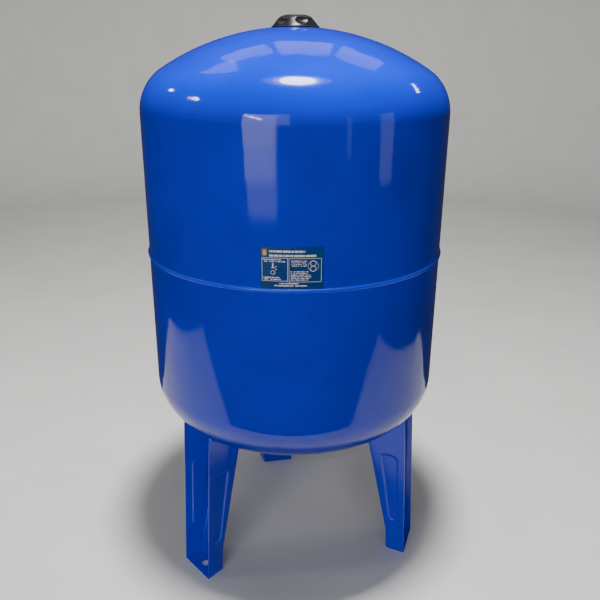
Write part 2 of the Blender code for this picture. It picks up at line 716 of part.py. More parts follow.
def build_valve_spring(low, high, zinc):
    """A coil between the core's floor and the pin's collar."""
    steps = 12
    start = low + GAP + SPRING_WIRE
    rise = high - GAP - SPRING_WIRE - start
    count = SPRING_TURNS * steps
    curve = bpy.data.curves.new("valve_spring", "CURVE")
    curve.dimensions = "3D"
    curve.bevel_depth = SPRING_WIRE
    curve.bevel_resolution = 0
    curve.use_fill_caps = True
    spline = curve.splines.new("POLY")
    spline.points.add(count)
    for i, slot in enumerate(spline.points):
        angle = 2 * math.pi * i / steps
        x = SPRING_RADIUS * math.cos(angle)
        y = SPRING_RADIUS * math.sin(angle)
        slot.co = (x, y, start + rise * i / count, 1.0)
    obj = bpy.data.objects.new("valve_spring", curve)
    bpy.context.scene.collection.objects.link(obj)
    curve.materials.append(zinc)


def dimple_bmesh():
    """Flattened balls that scoop the finger dimples out of the cap's sloping side."""
    bm = bmesh.new()
    normal = Vector(DIMPLE_NORMAL)
    centre = Vector(DIMPLE_REST) + normal * DIMPLE_STANDOFF
    lean = Matrix.Rotation(math.atan2(normal.z, normal.x), 4, Vector((0, -1, 0)))
    for i in range(DIMPLE_COUNT):
        turn = Matrix.Rotation(math.radians(DIMPLE_FIRST - 90.0 + 360.0 * i / DIMPLE_COUNT), 4, "Z")
        place = turn @ Matrix.Translation(centre) @ lean @ Matrix.Diagonal((*DIMPLE_SIZE, 1.0))
        bmesh.ops.create_uvsphere(bm, u_segments=14, v_segments=10, radius=1.0, matrix=place)
    return bm


def build_cap(plastic, rubber):
    sleeve = BOSS_RADIUS + SLEEVE_PLAY
    thread_bore = [
        (CAP_HOLLOW[-1][0], SLEEVE_LOW_Z),
        (sleeve, SLEEVE_LOW_Z),
        (sleeve, CAP_CEILING_Z),
        (0.0, CAP_CEILING_Z),
    ]
    cap = turned("cover_cap", [*CAP_OUTSIDE, *CAP_HOLLOW, *thread_bore], 36, plastic)
    combine(cap, helper("dimple_cutter", dimple_bmesh()), "DIFFERENCE")
    turned("cover_cap_seal", ring_profile(*CAP_SEAL_RADII, *CAP_SEAL_Z), 32, rubber)


def main():
    clear_scene()
    paint = make_material("blue_paint", BLUE_PAINT, 0.18, 0.0)
    plastic = make_material("black_plastic", BLACK_PLASTIC, 0.12, 0.0)
    zinc = make_material("zinc_plate", ZINC, 0.35, 1.0)
    brass = make_material("brass", BRASS, 0.3, 1.0)
    rubber = make_material("epdm", EPDM, 0.75, 0.0)
    film = make_material("label_film", LABEL_BLUE, 0.35, 0.0)
    make_material("tool", (0.8, 0.2, 0.1), 0.5, 0.0)

    build_bolt_hole_cutter()
    build_upper_shell(paint)
    build_lower_shell(paint)
    build_girth_weld(paint)
    build_label(film)
    tools = build_leg_tools()
    head_cutter = build_head_cutter()
    for place, azimuth in LEG_AZIMUTHS.items():
        build_leg(place, azimuth, tools, head_cutter, paint)
        build_leg_weld(place, azimuth, paint)
    build_flange(zinc)
    build_fasteners(zinc)
    build_bladder(rubber)
    build_boss(paint)
    build_valve(brass, zinc, rubber)
    build_cap(plastic, rubber)


main()
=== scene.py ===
"""Expansion vessel: the finished surfaces of a floor-standing pressure vessel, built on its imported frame.

Each operator makes one piece or one group of like pieces. Run as a script, it makes them all, with a
pale studio floor, soft lights and a camera.
"""

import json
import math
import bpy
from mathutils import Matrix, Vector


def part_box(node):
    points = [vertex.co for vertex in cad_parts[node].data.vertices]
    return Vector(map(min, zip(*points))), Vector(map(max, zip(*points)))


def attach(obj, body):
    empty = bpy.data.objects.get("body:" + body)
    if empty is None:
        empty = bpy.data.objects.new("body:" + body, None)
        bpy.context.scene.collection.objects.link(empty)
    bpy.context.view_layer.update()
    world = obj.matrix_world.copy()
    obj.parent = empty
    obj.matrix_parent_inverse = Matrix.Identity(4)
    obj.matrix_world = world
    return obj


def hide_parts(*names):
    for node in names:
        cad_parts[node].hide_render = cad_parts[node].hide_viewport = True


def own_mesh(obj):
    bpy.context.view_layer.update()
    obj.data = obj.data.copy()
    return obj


bl_info = {
    "name": "Expansion vessel",
    "version": (1, 0, 0),
    "blender": (4, 5, 0),
    "location": "View3D > Sidebar > Vessel",
    "description": "Builds the tank, legs, welds, flange, valve, cap and label of an expansion vessel",
    "category": "Add Mesh",
}

import bmesh
import bpy
from bpy.props import FloatProperty, FloatVectorProperty, IntProperty, PointerProperty
from mathutils import Matrix, Vector, noise

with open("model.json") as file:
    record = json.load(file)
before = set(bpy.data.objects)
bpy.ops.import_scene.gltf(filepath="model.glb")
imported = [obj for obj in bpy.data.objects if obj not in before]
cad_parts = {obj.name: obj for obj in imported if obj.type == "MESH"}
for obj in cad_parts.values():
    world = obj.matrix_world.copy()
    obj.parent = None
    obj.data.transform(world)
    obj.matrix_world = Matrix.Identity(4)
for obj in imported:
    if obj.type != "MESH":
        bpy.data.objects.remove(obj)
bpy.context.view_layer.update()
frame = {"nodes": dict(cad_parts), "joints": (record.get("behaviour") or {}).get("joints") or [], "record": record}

CLEARANCE = 0.0003  # metres left between pieces that touch
UNDER_BEAD = 0.2 * CLEARANCE  # metres left under a weld bead
TURN = 2 * math.pi
HEX_POINT = 1.155  # half width over a hexagon's corners, for half a width of 1 over its flats
MIX_FACTOR, MIX_A, MIX_B, MIX_COLOR = 0, 6, 7, 2  # a Mix node's sockets for colours
LABEL_PARTS = 78.0  # the label's width, in the parts that its print is laid out in


# Properties ---------------------------------------------------------------------------------------
def length(name, description, default, **limits):
    return FloatProperty(name=name, description=description, default=default, unit="LENGTH", **limits)


def tint(name, description, default):
    return FloatVectorProperty(
        name=name, description=description, default=default, subtype="COLOR", size=3, min=0.0, max=1.0
    )


class VesselShape(bpy.types.PropertyGroup):
    """Sizes of the pressed and turned shapes that the frame's boxes do not give."""

    sheet: length("Shell wall", "Thickness of the tank's steel", 0.0015, min=0.0005)
    knuckle: length("Knuckle radius", "Radius of the bend between a head and the cylinder", 0.0718, min=0.01)
    crown: length("Crown radius", "Radius of the shallow middle of a head", 0.3562, min=0.1)
    seat: length("Seat radius", "Radius of the flat seat for the bottom flange", 0.077, min=0.02)
    neck: length("Neck radius", "Radius of the opening in the bottom head", 0.05, min=0.01)
    joggle: length("Joggle overlap", "How far the lower shell slips inside the upper one", 0.016, min=0.004)
    sides: IntProperty(name="Tank sides", description="Segments round the tank", default=192, min=24)


class LegShape(bpy.types.PropertyGroup):
    """Sizes of a pressed leg, a channel that opens away from the tank."""

    sheet: length("Leg sheet", "Thickness of the pressed sheet", 0.002, min=0.0005)
    bend: length("Bend radius", "Outer radius of the folds", 0.004, min=0.001)
    kink: length("Kink height", "Height where the web starts to lean inward", 0.035, min=0.0)
    gauge: length("Gauge height", "Height at which the upper sizes are given", 0.2, min=0.1)
    free_low: length("Free edge, floor", "Distance of the free edges from the axis at the floor", 0.2113)
    free_high: length("Free edge, gauge", "The same at the gauge height", 0.2014)
    free_half_low: length("Half width, floor", "Half the width over the free edges at the floor", 0.0335)
    free_half_high: length("Half width, gauge", "The same at the gauge height", 0.0353)
    web_low: length("Web, floor", "Distance of the web from the axis at the floor", 0.1785)
    web_kink: length("Web, kink", "Distance of the web from the axis at the kink", 0.1765)
    web_high: length("Web, gauge", "Distance of the web from the axis at the gauge height", 0.139)
    web_half_low: length("Web half width, floor", "Half the width of the web at the floor", 0.029)
    web_half_kink: length("Web half width, kink", "Half the width of the web at the kink", 0.0285)
    web_half_high: length("Web half width, gauge", "Half the width of the web at the gauge height", 0.026)
    rib_depth: length("Rib depth", "How deep the stiffening rib is pressed", 0.0016, min=0.0)
    rib_draft: length("Rib draft", "Width of the rib's sloping wall", 0.0026, min=0.0005)
    hole: length("Anchor hole radius", "Radius of the hole in the foot plate", 0.007, min=0.002)


class FinishColors(bpy.types.PropertyGroup):
    """Base colours of the materials."""

    paint: tint("Tank paint", "Gloss powder coat", (0.0004, 0.028, 0.78))
    # The weld tint is a lighter copy of the tank paint: a painted highlight for the lit tops of the beads, not a
    # thin coat.
    weld: tint("Weld paint", "Gloss coat where it lies thin over a bead", (0.002, 0.052, 0.92))
    cap: tint("Cap plastic", "Moulded cover cap", (0.010, 0.010, 0.011))
    zinc: tint("Zinc plate", "Flange, nuts, bolts and washers", (0.60, 0.61, 0.62))
    brass: tint("Brass", "Valve stem and core", (0.62, 0.44, 0.15))
    rubber: tint("Rubber", "Membrane, gasket and seals", (0.018, 0.018, 0.020))
    label: tint("Label film", "Background of the data label", (0.004, 0.058, 0.250))
    ink: tint("Label ink", "Printed lines and pictograms", (1.0, 1.0, 1.0))
    badge: tint("Label badge", "Small square beside the title", (0.62, 0.30, 0.08))
    floor: tint("Floor", "Studio floor and backdrop", (0.80, 0.80, 0.79))


class StageSetup(bpy.types.PropertyGroup):
    """Camera and lights."""

    distance: length("Camera distance", "From the tank's axis to the camera", 1.0361, min=0.3)
    height: length("Camera height", "Of the camera above the floor", 0.8108, min=0.0)
    lens: FloatProperty(name="Lens", description="Focal length in millimetres", default=40.57, min=10.0)
    sensor: FloatProperty(name="Sensor", description="Sensor width in millimetres", default=36.0, min=5.0)
    tilt: FloatVectorProperty(
        name="Camera angles",
        description="Rotation of the camera",
        subtype="EULER",
        default=(math.radians(69.56), math.radians(-0.37), math.radians(-0.36)),
    )
    bowl: length("Backdrop radius", "Radius of the round backdrop", 4.2, min=1.0)
    fill: FloatProperty(
        name="World fill", description="Strength of the light from all round", default=0.05, min=0.0
    )


# Shader building ----------------------------------------------------------------------------------
class Signal:
    """A socket of a material's node tree. Arithmetic on it adds Math nodes."""

    def __init__(self, recipe, socket):
        self.recipe = recipe
        self.socket = socket

    def math(self, operation, *others):
        sockets = dict(enumerate((self, *others)))
        return self.recipe.node("ShaderNodeMath", {"operation": operation}, sockets)

    def swapped(self, operation, other):
        return self.recipe.node("ShaderNodeMath", {"operation": operation}, {0: other, 1: self})

    def __add__(self, other):
        return self.math("ADD", other)

    def __radd__(self, other):
        return self.swapped("ADD", other)

    def __sub__(self, other):
        return self.math("SUBTRACT", other)

    def __rsub__(self, other):
        return self.swapped("SUBTRACT", other)

    def __mul__(self, other):
        return self.math("MULTIPLY", other)

    def __truediv__(self, other):
        return self.math("DIVIDE", other)

    def __gt__(self, other):
        return self.math("GREATER_THAN", other)

    def __lt__(self, other):
        return self.math("LESS_THAN", other)

    def between(self, low, high):
        return (self > low) * (self < high)

    def either(self, other):
        return self.math("MAXIMUM", other)

    def floor(self):
        return self.math("FLOOR")

    def root(self):
        return self.math("SQRT")

    def smooth(self, low, high):
        """0 below low, 1 above high, with an even slope between."""
        settings = {"interpolation_type": "SMOOTHSTEP"}
        sockets = {"Value": self, "From Min": low, "From Max": high}
        return self.recipe.node("ShaderNodeMapRange", settings, sockets)


class Recipe:
    """A material under construction, with its Principled shader."""

    def __init__(self, name, color, roughness, metallic=0.0, ior=1.5):
        self.material = bpy.data.materials.new(name)
        self.material.use_nodes = True
        self.material.diffuse_color = (*color, 1.0)
        self.tree = self.material.node_tree
        self.shader = self.tree.nodes["Principled BSDF"]
        self.set("Base Color", (*color, 1.0))
        self.set("Roughness", roughness)
        self.set("Metallic", metallic)
        self.set("IOR", ior)
        self.color = (*color, 1.0)

    def put(self, socket, value):
        if isinstance(value, Signal):
            self.tree.links.new(value.socket, socket)
        else:
            socket.default_value = value

    def set(self, name, value):
        self.put(self.shader.inputs[name], value)

    def node(self, kind, settings=None, sockets=None, output=0):
        """Adds a node, sets it up, feeds its sockets, and returns one of its outputs."""
        made = self.tree.nodes.new(kind)
        for name, value in (settings or {}).items():
            setattr(made, name, value)
        for key, value in (sockets or {}).items():
            self.put(made.inputs[key], value)
        return Signal(self, made.outputs[output])

    def place(self):
        """The object's own coordinates, in metres."""
        return self.node("ShaderNodeTexCoord", output="Object")

    def axes(self):
        """The three coordinates as separate values."""
        split = self.tree.nodes.new("ShaderNodeSeparateXYZ")
        self.tree.links.new(self.place().socket, split.inputs[0])
        return [Signal(self, socket) for socket in split.outputs]

    def stretched(self, scale):
        """The coordinates multiplied by a vector."""
        settings = {"operation": "MULTIPLY"}
        return self.node("ShaderNodeVectorMath", settings, {0: self.place(), 1: scale})

    def noise(self, scale, detail=2.0, roughness=0.5, vector=None):
        sockets = {"Vector": vector or self.place(), "Scale": scale}
        sockets.update({"Detail": detail, "Roughness": roughness})
        return self.node("ShaderNodeTexNoise", {}, sockets)

    def specks(self, scale, radius):
        """1 in small round spots, one in each cell, and 0 elsewhere."""
        sockets = {"Vector": self.place(), "Scale": scale}
        return 1.0 - self.node("ShaderNodeTexVoronoi", {}, sockets).smooth(radius * 0.6, radius)

    def mix(self, factor, low, high):
        """A colour between two colours."""
        sockets = {MIX_FACTOR: factor, MIX_A: low, MIX_B: high}
        return self.node("ShaderNodeMix", {"data_type": "RGBA"}, sockets, MIX_COLOR)

    def shades(self, factor, dark, light):
        """The material's own colour, from dark to light times its brightness."""
        return self.mix(factor, shade_by(self.color, dark), shade_by(self.color, light))

    def bump(self, height, distance, below=None):
        """A surface normal from a height field, on top of another bump if one is given."""
        sockets = {"Height": height, "Distance": distance}
        if below is not None:
            sockets["Normal"] = below
        return self.node("ShaderNodeBump", {}, sockets)


def shade_by(color, factor):
    return (*[channel * factor for channel in color[:3]], 1.0)


# Materials ----------------------------------------------------------------------------------------
def paint_material(colors):
    """Gloss powder coat: fine orange peel over slow waves in the sheet, and a few dust nibs."""
    recipe = Recipe("gloss_blue_paint", colors.paint, 0.13, ior=1.52)
    cloud = recipe.noise(9.0, 3.0)
    recipe.set("Base Color", recipe.shades(cloud.smooth(0.3, 0.7), 0.90, 1.06))
    film = recipe.noise(38.0, 2.0)
    nibs = recipe.specks(34.0, 0.035) * (recipe.noise(7.0, 0.0) > 0.56)
    recipe.set("Roughness", 0.045 + film * 0.06 + nibs * 0.2)
    wave = recipe.noise(1.0, 1.0, vector=recipe.stretched((22.0, 22.0, 3.0)))
    sheet = recipe.bump(wave, 0.0011)
    peel = recipe.bump(recipe.noise(330.0, 1.0, 0.45), 0.00003, below=sheet)
    recipe.set("Normal", recipe.bump(nibs, 0.00012, below=peel))
    return recipe.material


def highlit_weld_paint_material(colors):
    """The paint over a weld bead, whose ripples show through it, in a lighter tint as a painted highlight."""
    recipe = Recipe("painted_weld", colors.weld, 0.26, ior=1.52)
    ripple = recipe.noise(420.0, 2.0, 0.6)
    recipe.set("Base Color", recipe.shades(ripple.smooth(0.3, 0.7), 0.92, 1.10))
    recipe.set("Roughness", 0.27 + recipe.noise(60.0) * 0.08)
    beads = recipe.bump(ripple, 0.00003)
    recipe.set("Normal", recipe.bump(recipe.noise(150.0, 1.0), 0.00003, below=beads))
    return recipe.material


def cap_material(colors):
    """Glossy injection-moulded plastic with faint flow marks."""
    recipe = Recipe("moulded_cap_plastic", colors.cap, 0.16, ior=1.49)
    flow = recipe.noise(1.0, 3.0, vector=recipe.stretched((60.0, 60.0, 240.0)))
    recipe.set("Base Color", recipe.shades(flow.smooth(0.3, 0.75), 0.75, 1.7))
    scuffs = recipe.noise(1.0, 4.0, 0.7, vector=recipe.stretched((900.0, 140.0, 300.0)))
    recipe.set("Roughness", 0.24 + flow * 0.1 + scuffs.smooth(0.62, 0.72) * 0.14)
    skin = recipe.bump(recipe.noise(1300.0, 2.0), 0.000012)
    recipe.set("Normal", recipe.bump(flow, 0.00015, below=skin))
    return recipe.material


def zinc_material(colors):
    """Bright zinc plate: a cloudy spangle, small handling marks and faint machining lines."""
    recipe = Recipe("bright_zinc_plate", colors.zinc, 0.3, metallic=1.0)
    cells = {"Vector": recipe.place(), "Scale": 260.0}
    spangle = recipe.node("ShaderNodeTexVoronoi", {}, cells, output="Color")
    grey = recipe.node("ShaderNodeRGBToBW", {}, {0: spangle})
    cloud = recipe.noise(70.0, 4.0, 0.6)
    warm = (0.66, 0.63, 0.52, 1.0)
    base = recipe.shades(grey, 0.86, 1.08)
    recipe.set("Base Color", recipe.mix(cloud.smooth(0.45, 0.8) * 0.5, base, warm))
    marks = recipe.noise(1.0, 5.0, 0.75, vector=recipe.stretched((260.0, 1800.0, 260.0)))
    recipe.set("Roughness", 0.22 + grey * 0.1 + cloud * 0.12 + marks.smooth(0.6, 0.72) * 0.2)
    fine = recipe.bump(recipe.noise(1900.0, 2.0), 0.00002)
    recipe.set("Normal", recipe.bump(cloud, 0.0001, below=fine))
    return recipe.material


def turned_metal_material(name, color, roughness):
    """Lathe-cut metal: close rings round the upright axis, and a slight tarnish."""
    recipe = Recipe(name, color, roughness, metallic=1.0)
    rings = recipe.noise(1.0, 3.0, 0.6, vector=recipe.stretched((40.0, 40.0, 5200.0)))
    tarnish = recipe.noise(240.0, 4.0, 0.6)
    recipe.set("Base Color", recipe.shades(tarnish.smooth(0.35, 0.75), 1.1, 0.62))
    recipe.set("Roughness", roughness * 0.7 + rings * 0.16 + tarnish * 0.12)
    recipe.set("Normal", recipe.bump(rings, 0.00003))
    return recipe.material


def rubber_material(colors):
    """Moulded rubber: matt, finely grained, with a pale bloom in patches."""
    recipe = Recipe("moulded_rubber", colors.rubber, 0.7)
    bloom = recipe.noise(26.0, 4.0, 0.6).smooth(0.5, 0.8)
    recipe.set("Base Color", recipe.mix(bloom * 0.7, recipe.color, (0.075, 0.073, 0.070, 1.0)))
    recipe.set("Roughness", 0.55 + recipe.noise(90.0) * 0.2 + bloom * 0.15)
    grain = recipe.bump(recipe.noise(1500.0, 3.0, 0.6), 0.00005)
    recipe.set("Normal", recipe.bump(recipe.noise(120.0), 0.0002, below=grain))
    return recipe.material


class LabelPrint:
    """Masks for what is printed on the label, in parts of its width from its top left corner."""

    def __init__(self, recipe, radius, first_angle, last_angle, top):
        x, y, z = recipe.axes()
        self.recipe = recipe
        parts = LABEL_PARTS / (last_angle - first_angle)
        self.across = (x.math("ARCTAN2", 0.0 - y) - first_angle) * parts
        self.down = (top - z) * (parts / radius)
        self.ink = 0.0

    def box(self, left, top, width, height):
        return self.across.between(left, left + width) * self.down.between(top, top + height)

    def add(self, mask):
        self.ink = mask if isinstance(self.ink, float) else self.ink.either(mask)

    def outline(self, left, top, width, height, line):
        """A thin rectangular frame."""
        inner = self.box(left + line, top + line, width - 2 * line, height - 2 * line)
        self.add(self.box(left, top, width, height) * (1.0 - inner))

    def chance(self, dimensions, sockets):
        """An even random value for each value of the sockets."""
        settings = {"noise_dimensions": dimensions}
        return self.recipe.node("ShaderNodeTexWhiteNoise", settings, sockets)

    def dashes(self, left, top, width, row, rows, cell, share):
        """Rows of short broken strokes, which stand for lines of print."""
        strip = (self.down - top) / row
        number = strip.floor()
        column = ((self.across - left) / cell).floor()
        spot = self.recipe.node("ShaderNodeCombineXYZ", {}, {0: column, 1: number + left, 2: top})
        chance = self.chance("3D", {"Vector": spot})
        ragged = self.chance("1D", {"W": number + top})
        reach = (0.78 + ragged * 0.22) * width
        body = self.across.between(left, left + width) * ((self.across - left) < reach)
        inked = (strip - number).between(0.2, 0.78) * (chance < share)
        self.add(self.box(left, top, width, row * rows) * body * inked)

    def distance(self, across, down):
        """Distance from a point of the label."""
        a = self.across - across
        b = self.down - down
        return (a * a + b * b).root()

    def ring(self, across, down, radius, line):
        self.add(self.distance(across, down).between(radius - line, radius))

    def dot(self, across, down, radius):
        self.add(self.distance(across, down) < radius)


def label_material(colors, radius, first_angle, last_angle, top):
    """Printed film: two boxes, a tap and a gauge as pictograms, and strokes in place of words."""
    recipe = Recipe("printed_label_film", colors.label, 0.32, ior=1.46)
    print_ = LabelPrint(recipe, radius, first_angle, last_angle, top)
    # The title, in two lines
    print_.dashes(11.0, 3.5, 55.0, 4.6, 1, 0.8, 0.80)
    print_.dashes(11.0, 8.9, 61.0, 4.6, 1, 0.8, 0.82)
    # The two boxes and the lines in them
    print_.outline(1.6, 13.8, 32.2, 30.0, 0.55)
    print_.outline(35.0, 14.2, 40.4, 30.6, 0.55)
    print_.dashes(3.4, 15.2, 27.5, 2.3, 2, 0.8, 0.72)
    print_.dashes(3.4, 38.0, 26.0, 2.3, 2, 0.8, 0.72)
    print_.dashes(38.0, 16.6, 21.0, 2.1, 4, 0.5, 0.66)
    print_.dashes(37.0, 30.2, 26.0, 2.15, 6, 0.5, 0.64)
    # The two lines below them
    print_.dashes(23.5, 45.5, 28.5, 2.5, 1, 0.7, 0.84)
    print_.dashes(17.0, 48.3, 41.0, 2.5, 1, 0.7, 0.84)
    # The tap, its drops and the ring under them
    print_.add(print_.box(14.4, 20.8, 1.7, 6.0))
    print_.add(print_.box(13.2, 26.0, 4.2, 1.1))
    print_.dot(19.2, 25.2, 0.75)
    print_.dot(19.2, 28.6, 0.75)
    print_.ring(15.3, 32.6, 2.8, 0.6)
    # The gauge
    print_.ring(65.0, 20.6, 3.7, 0.7)
    print_.ring(65.0, 27.6, 3.7, 0.7)
    print_.ring(65.0, 24.1, 6.6, 0.4)
    fade = recipe.noise(900.0, 2.0)
    ground = recipe.shades(recipe.noise(110.0, 3.0).smooth(0.3, 0.7), 0.85, 1.2)
    badge = print_.box(2.2, 3.2, 5.8, 8.2)
    drop = (print_.distance(5.1, 8.6) < 1.9).either(print_.box(4.6, 4.6, 1.0, 3.4))
    color = recipe.mix(badge, ground, (*colors.badge, 1.0))
    color = recipe.mix(badge * drop, color, (0.80, 0.68, 0.42, 1.0))
    recipe.set("Base Color", recipe.mix(print_.ink * (0.86 + fade * 0.14), color, (*colors.ink, 1.0)))
    recipe.set("Roughness", 0.24 + recipe.noise(160.0) * 0.14 + print_.ink * 0.08)
    film = recipe.bump(recipe.noise(420.0, 2.0), 0.00003)
    recipe.set("Normal", recipe.bump(print_.ink, 0.000015, below=film))
    return recipe.material


def floor_material(colors):
    """Pale studio board with a very light mottle."""
    recipe = Recipe("pale_floor", colors.floor, 0.6)
    mottle = recipe.noise(6.0, 5.0, 0.6)
    recipe.set("Base Color", recipe.shades(mottle.smooth(0.3, 0.7), 0.97, 1.02))
    recipe.set("Roughness", 0.5 + mottle * 0.15)
    recipe.set("Normal", recipe.bump(recipe.noise(240.0, 3.0), 0.0001))
    return recipe.material


def material(name, make, *values):
    """The material of that name, made once."""
    return bpy.data.materials.get(name) or make(*values)


def paint(context):
    return material("gloss_blue_paint", paint_material, context.scene.vessel_colors)


def highlit_weld_paint(context):
    return material("painted_weld", highlit_weld_paint_material, context.scene.vessel_colors)


def zinc(context):
    return material("bright_zinc_plate", zinc_material, context.scene.vessel_colors)


def rubber(context):
    return material("moulded_rubber", rubber_material, context.scene.vessel_colors)


def brass(context):
    name = "turned_brass"
    return material(name, turned_metal_material, name, context.scene.vessel_colors.brass, 0.3)


def steel(context):
    name = "drawn_steel"
    return material(name, turned_metal_material, name, context.scene.vessel_colors.zinc, 0.28)


# Mesh building ------------------------------------------------------------------------------------
def hexagon(angle, half_flats):
    """Radius of a hexagon of that half width across flats, in the direction of the angle."""
    return half_flats / math.cos((angle % (TURN / 6)) - TURN / 12)


def arc(centre_r, centre_z, radius, first, last, steps):
    """Points on an arc of a turned profile. Angles in degrees, 0 outward and 90 up."""
    points = []
    for i in range(steps + 1):
        angle = math.radians(first + (last - first) * i / steps)
        points.append((centre_r + radius * math.cos(angle), centre_z + radius * math.sin(angle)))
    return points


def filleted(corners, steps=3):
    """A closed profile of (radius, height, fillet) corners, with each fillet as an arc."""
    points = []
    count = len(corners)
    for i, (r, z, fillet) in enumerate(corners):
        if fillet == 0.0:
            points.append((r, z))
            continue
        here = Vector((r, z))
        back = (Vector(corners[i - 1][:2]) - here).normalized()
        onward = (Vector(corners[(i + 1) % count][:2]) - here).normalized()
        half = back.angle(onward) / 2
        reach = fillet / math.tan(half)
        centre = here + (back + onward).normalized() * fillet / math.sin(half)
        first = here + back * reach - centre
        last = here + onward * reach - centre
        turn = first.angle_signed(last)
        for k in range(steps + 1):
            point = centre + Matrix.Rotation(-turn * k / steps, 2) @ first
            points.append((max(point.x, 0.0), point.y))
    return points


def join(bm, near, far):
    """Faces between two closed loops of points."""
    for i in range(len(near)):
        j = (i + 1) % len(near)
        bm.faces.new((near[i], near[j], far[j], far[i]))


def turned(profile, sides, shape=None, solid=False):
    """Turns a profile about Z. Shape may change a point's radius by its angle, radius and height. A
    solid profile starts and ends on the axis, and any other closes into a ring."""
    bm = bmesh.new()
    rings = []
    for radius, height in profile:
        ring = []
        for side in range(sides):
            angle = TURN * side / sides
            reach = shape(angle, radius, height) if shape and radius > 0.0 else radius
            ring.append(bm.verts.new((reach * math.sin(angle), -reach * math.cos(angle), height)))
        rings.append(ring)
    pairs = list(zip(rings, rings[1:]))
    if not solid:
        pairs.append((rings[-1], rings[0]))
    for upper, lower in pairs:
        join(bm, upper, lower)
    bmesh.ops.remove_doubles(bm, verts=bm.verts, dist=1e-7)
    bmesh.ops.recalc_face_normals(bm, faces=bm.faces)
    return bm


def tube(points, radius, sides, swell=None):
    """A closed tube along points, with its radius multiplied by swell(distance along it)."""
    bm = bmesh.new()
    rings = []
    travelled = 0.0
    up = Vector((0.0, 0.0, 1.0))
    for i, point in enumerate(points):
        ahead = points[min(i + 1, len(points) - 1)] - points[max(i - 1, 0)]
        travelled += (point - points[i - 1]).length if i else 0.0
        side = ahead.normalized().cross(up).normalized()
        lift = side.cross(ahead.normalized())
        size = radius * (swell(travelled) if swell else 1.0)
        end = min(i, len(points) - 1 - i)
        size *= math.sqrt(min(1.0, (end + 0.35) / 4.0))  # rounds off both ends
        ring = []
        for k in range(sides):
            angle = TURN * k / sides
            spoke = side * (size * math.cos(angle)) + lift * (size * math.sin(angle))
            ring.append(bm.verts.new(point + spoke))
        rings.append(ring)
    for lower, upper in zip(rings, rings[1:]):
        join(bm, lower, upper)
    bm.faces.new(rings[0])
    bm.faces.new(rings[-1])
    bmesh.ops.recalc_face_normals(bm, faces=bm.faces)
    return bm


def piece(name, bm, finish, body, slot, *nodes, crease=40.0):
    """Makes an object of a bmesh, with its finish and body, and hides the nodes it stands for. The slot is not
    used.
    """
    mesh = bpy.data.meshes.new(name)
    bm.to_mesh(mesh)
    bm.free()
    mesh.shade_smooth()
    mesh.set_sharp_from_angle(angle=math.radians(crease))
    mesh.materials.append(finish)
    obj = bpy.data.objects.new(name, mesh)
    bpy.context.scene.collection.objects.link(obj)
    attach(obj, body)
    if nodes:
        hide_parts(*nodes)
    return obj


def dress(node, finish, crease=40.0):
    """Gives a node of the frame its finish. Its shape stays."""
    obj = frame["nodes"][node]
    obj.data.materials.clear()
    obj.data.materials.append(finish)
    obj.data.shade_smooth()
    obj.data.set_sharp_from_angle(angle=math.radians(crease))


def middle(node):
    low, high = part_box(node)
    return (low + high) / 2


# The tank's form ----------------------------------------------------------------------------------
class TankForm:
    """The outer surface of the tank, from the frame's boxes and the radii of the heads."""

    def __init__(self, shape):
        self.sheet = shape.sheet
        self.knuckle = shape.knuckle
        self.crown = shape.crown
        self.seat = shape.seat
        self.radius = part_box("upper_shell")[1].x
        self.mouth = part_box("valve_boss")[1].x + CLEARANCE
        self.rim_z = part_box("upper_shell")[0].z
        self.seat_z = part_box("lower_shell")[0].z
        self.bend_r = self.radius - self.knuckle
        self.bend_angle = math.asin(self.bend_r / (self.crown - self.knuckle))
        self.drop = (self.crown - self.knuckle) * math.cos(self.bend_angle)
        mouth_rise = math.sqrt(self.crown**2 - self.mouth**2)
        seat_rise = math.sqrt(self.crown**2 - self.seat**2)
        self.middle_z = (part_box("upper_shell")[1].z + self.seat_z - mouth_rise + seat_rise) / 2
        self.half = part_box("upper_shell")[1].z - self.middle_z + self.drop - mouth_rise

    def head(self, inset, start, crown_steps=28, bend_steps=26):
        """(radius, height above the middle) from start out to the cylinder, inset into the wall."""
        crown = self.crown - inset
        knuckle = self.knuckle - inset
        first = math.asin(start / crown)
        points = []
        for i in range(crown_steps):
            angle = first + (self.bend_angle - first) * i / crown_steps
            points.append((crown * math.sin(angle), self.half - self.drop + crown * math.cos(angle)))
        for i in range(bend_steps + 1):
            angle = self.bend_angle + (math.pi / 2 - self.bend_angle) * i / bend_steps
            r = self.bend_r + knuckle * math.sin(angle)
            points.append((r, self.half + knuckle * math.cos(angle)))
        return points

    def bottom_z(self, radius, away=0.0):
        """Height of the bottom head at a radius, moved out of the tank by a distance."""
        crown = self.crown + away
        knuckle = self.knuckle + away
        if radius < crown * math.sin(self.bend_angle):
            height = self.half - self.drop + math.sqrt(crown**2 - radius**2)
        else:
            height = self.half + math.sqrt(max(0.0, knuckle**2 - (radius - self.bend_r) ** 2))
        return self.middle_z - height

    def top_z(self, radius):
        return 2 * self.middle_z - self.bottom_z(radius)


def bolt_centres():
    """Where the flange bolts stand, by their numbers."""
    return {i: middle(f"flange_bolt_{i}") for i in range(1, 7)}


def drill(obj, radius, height, depth, sides):
    """Bores a hole through an object at each flange bolt, and keeps the result as its mesh."""
    bm = bmesh.new()
    for centre in bolt_centres().values():
        place = Matrix.Translation((centre.x, centre.y, height))
        bmesh.ops.create_cone(
            bm, cap_ends=True, segments=sides, radius1=radius, radius2=radius, depth=depth, matrix=place
        )
    mesh = bpy.data.meshes.new("drill")
    bm.to_mesh(mesh)
    bm.free()
    cutter = bpy.data.objects.new("drill", mesh)
    bpy.context.scene.collection.objects.link(cutter)
    cut = obj.modifiers.new("holes", "BOOLEAN")
    cut.object = cutter
    graph = bpy.context.evaluated_depsgraph_get()
    bored = bpy.data.meshes.new_from_object(obj.evaluated_get(graph))
    obj.modifiers.clear()
    obj.data = bored
    bpy.data.objects.remove(cutter)


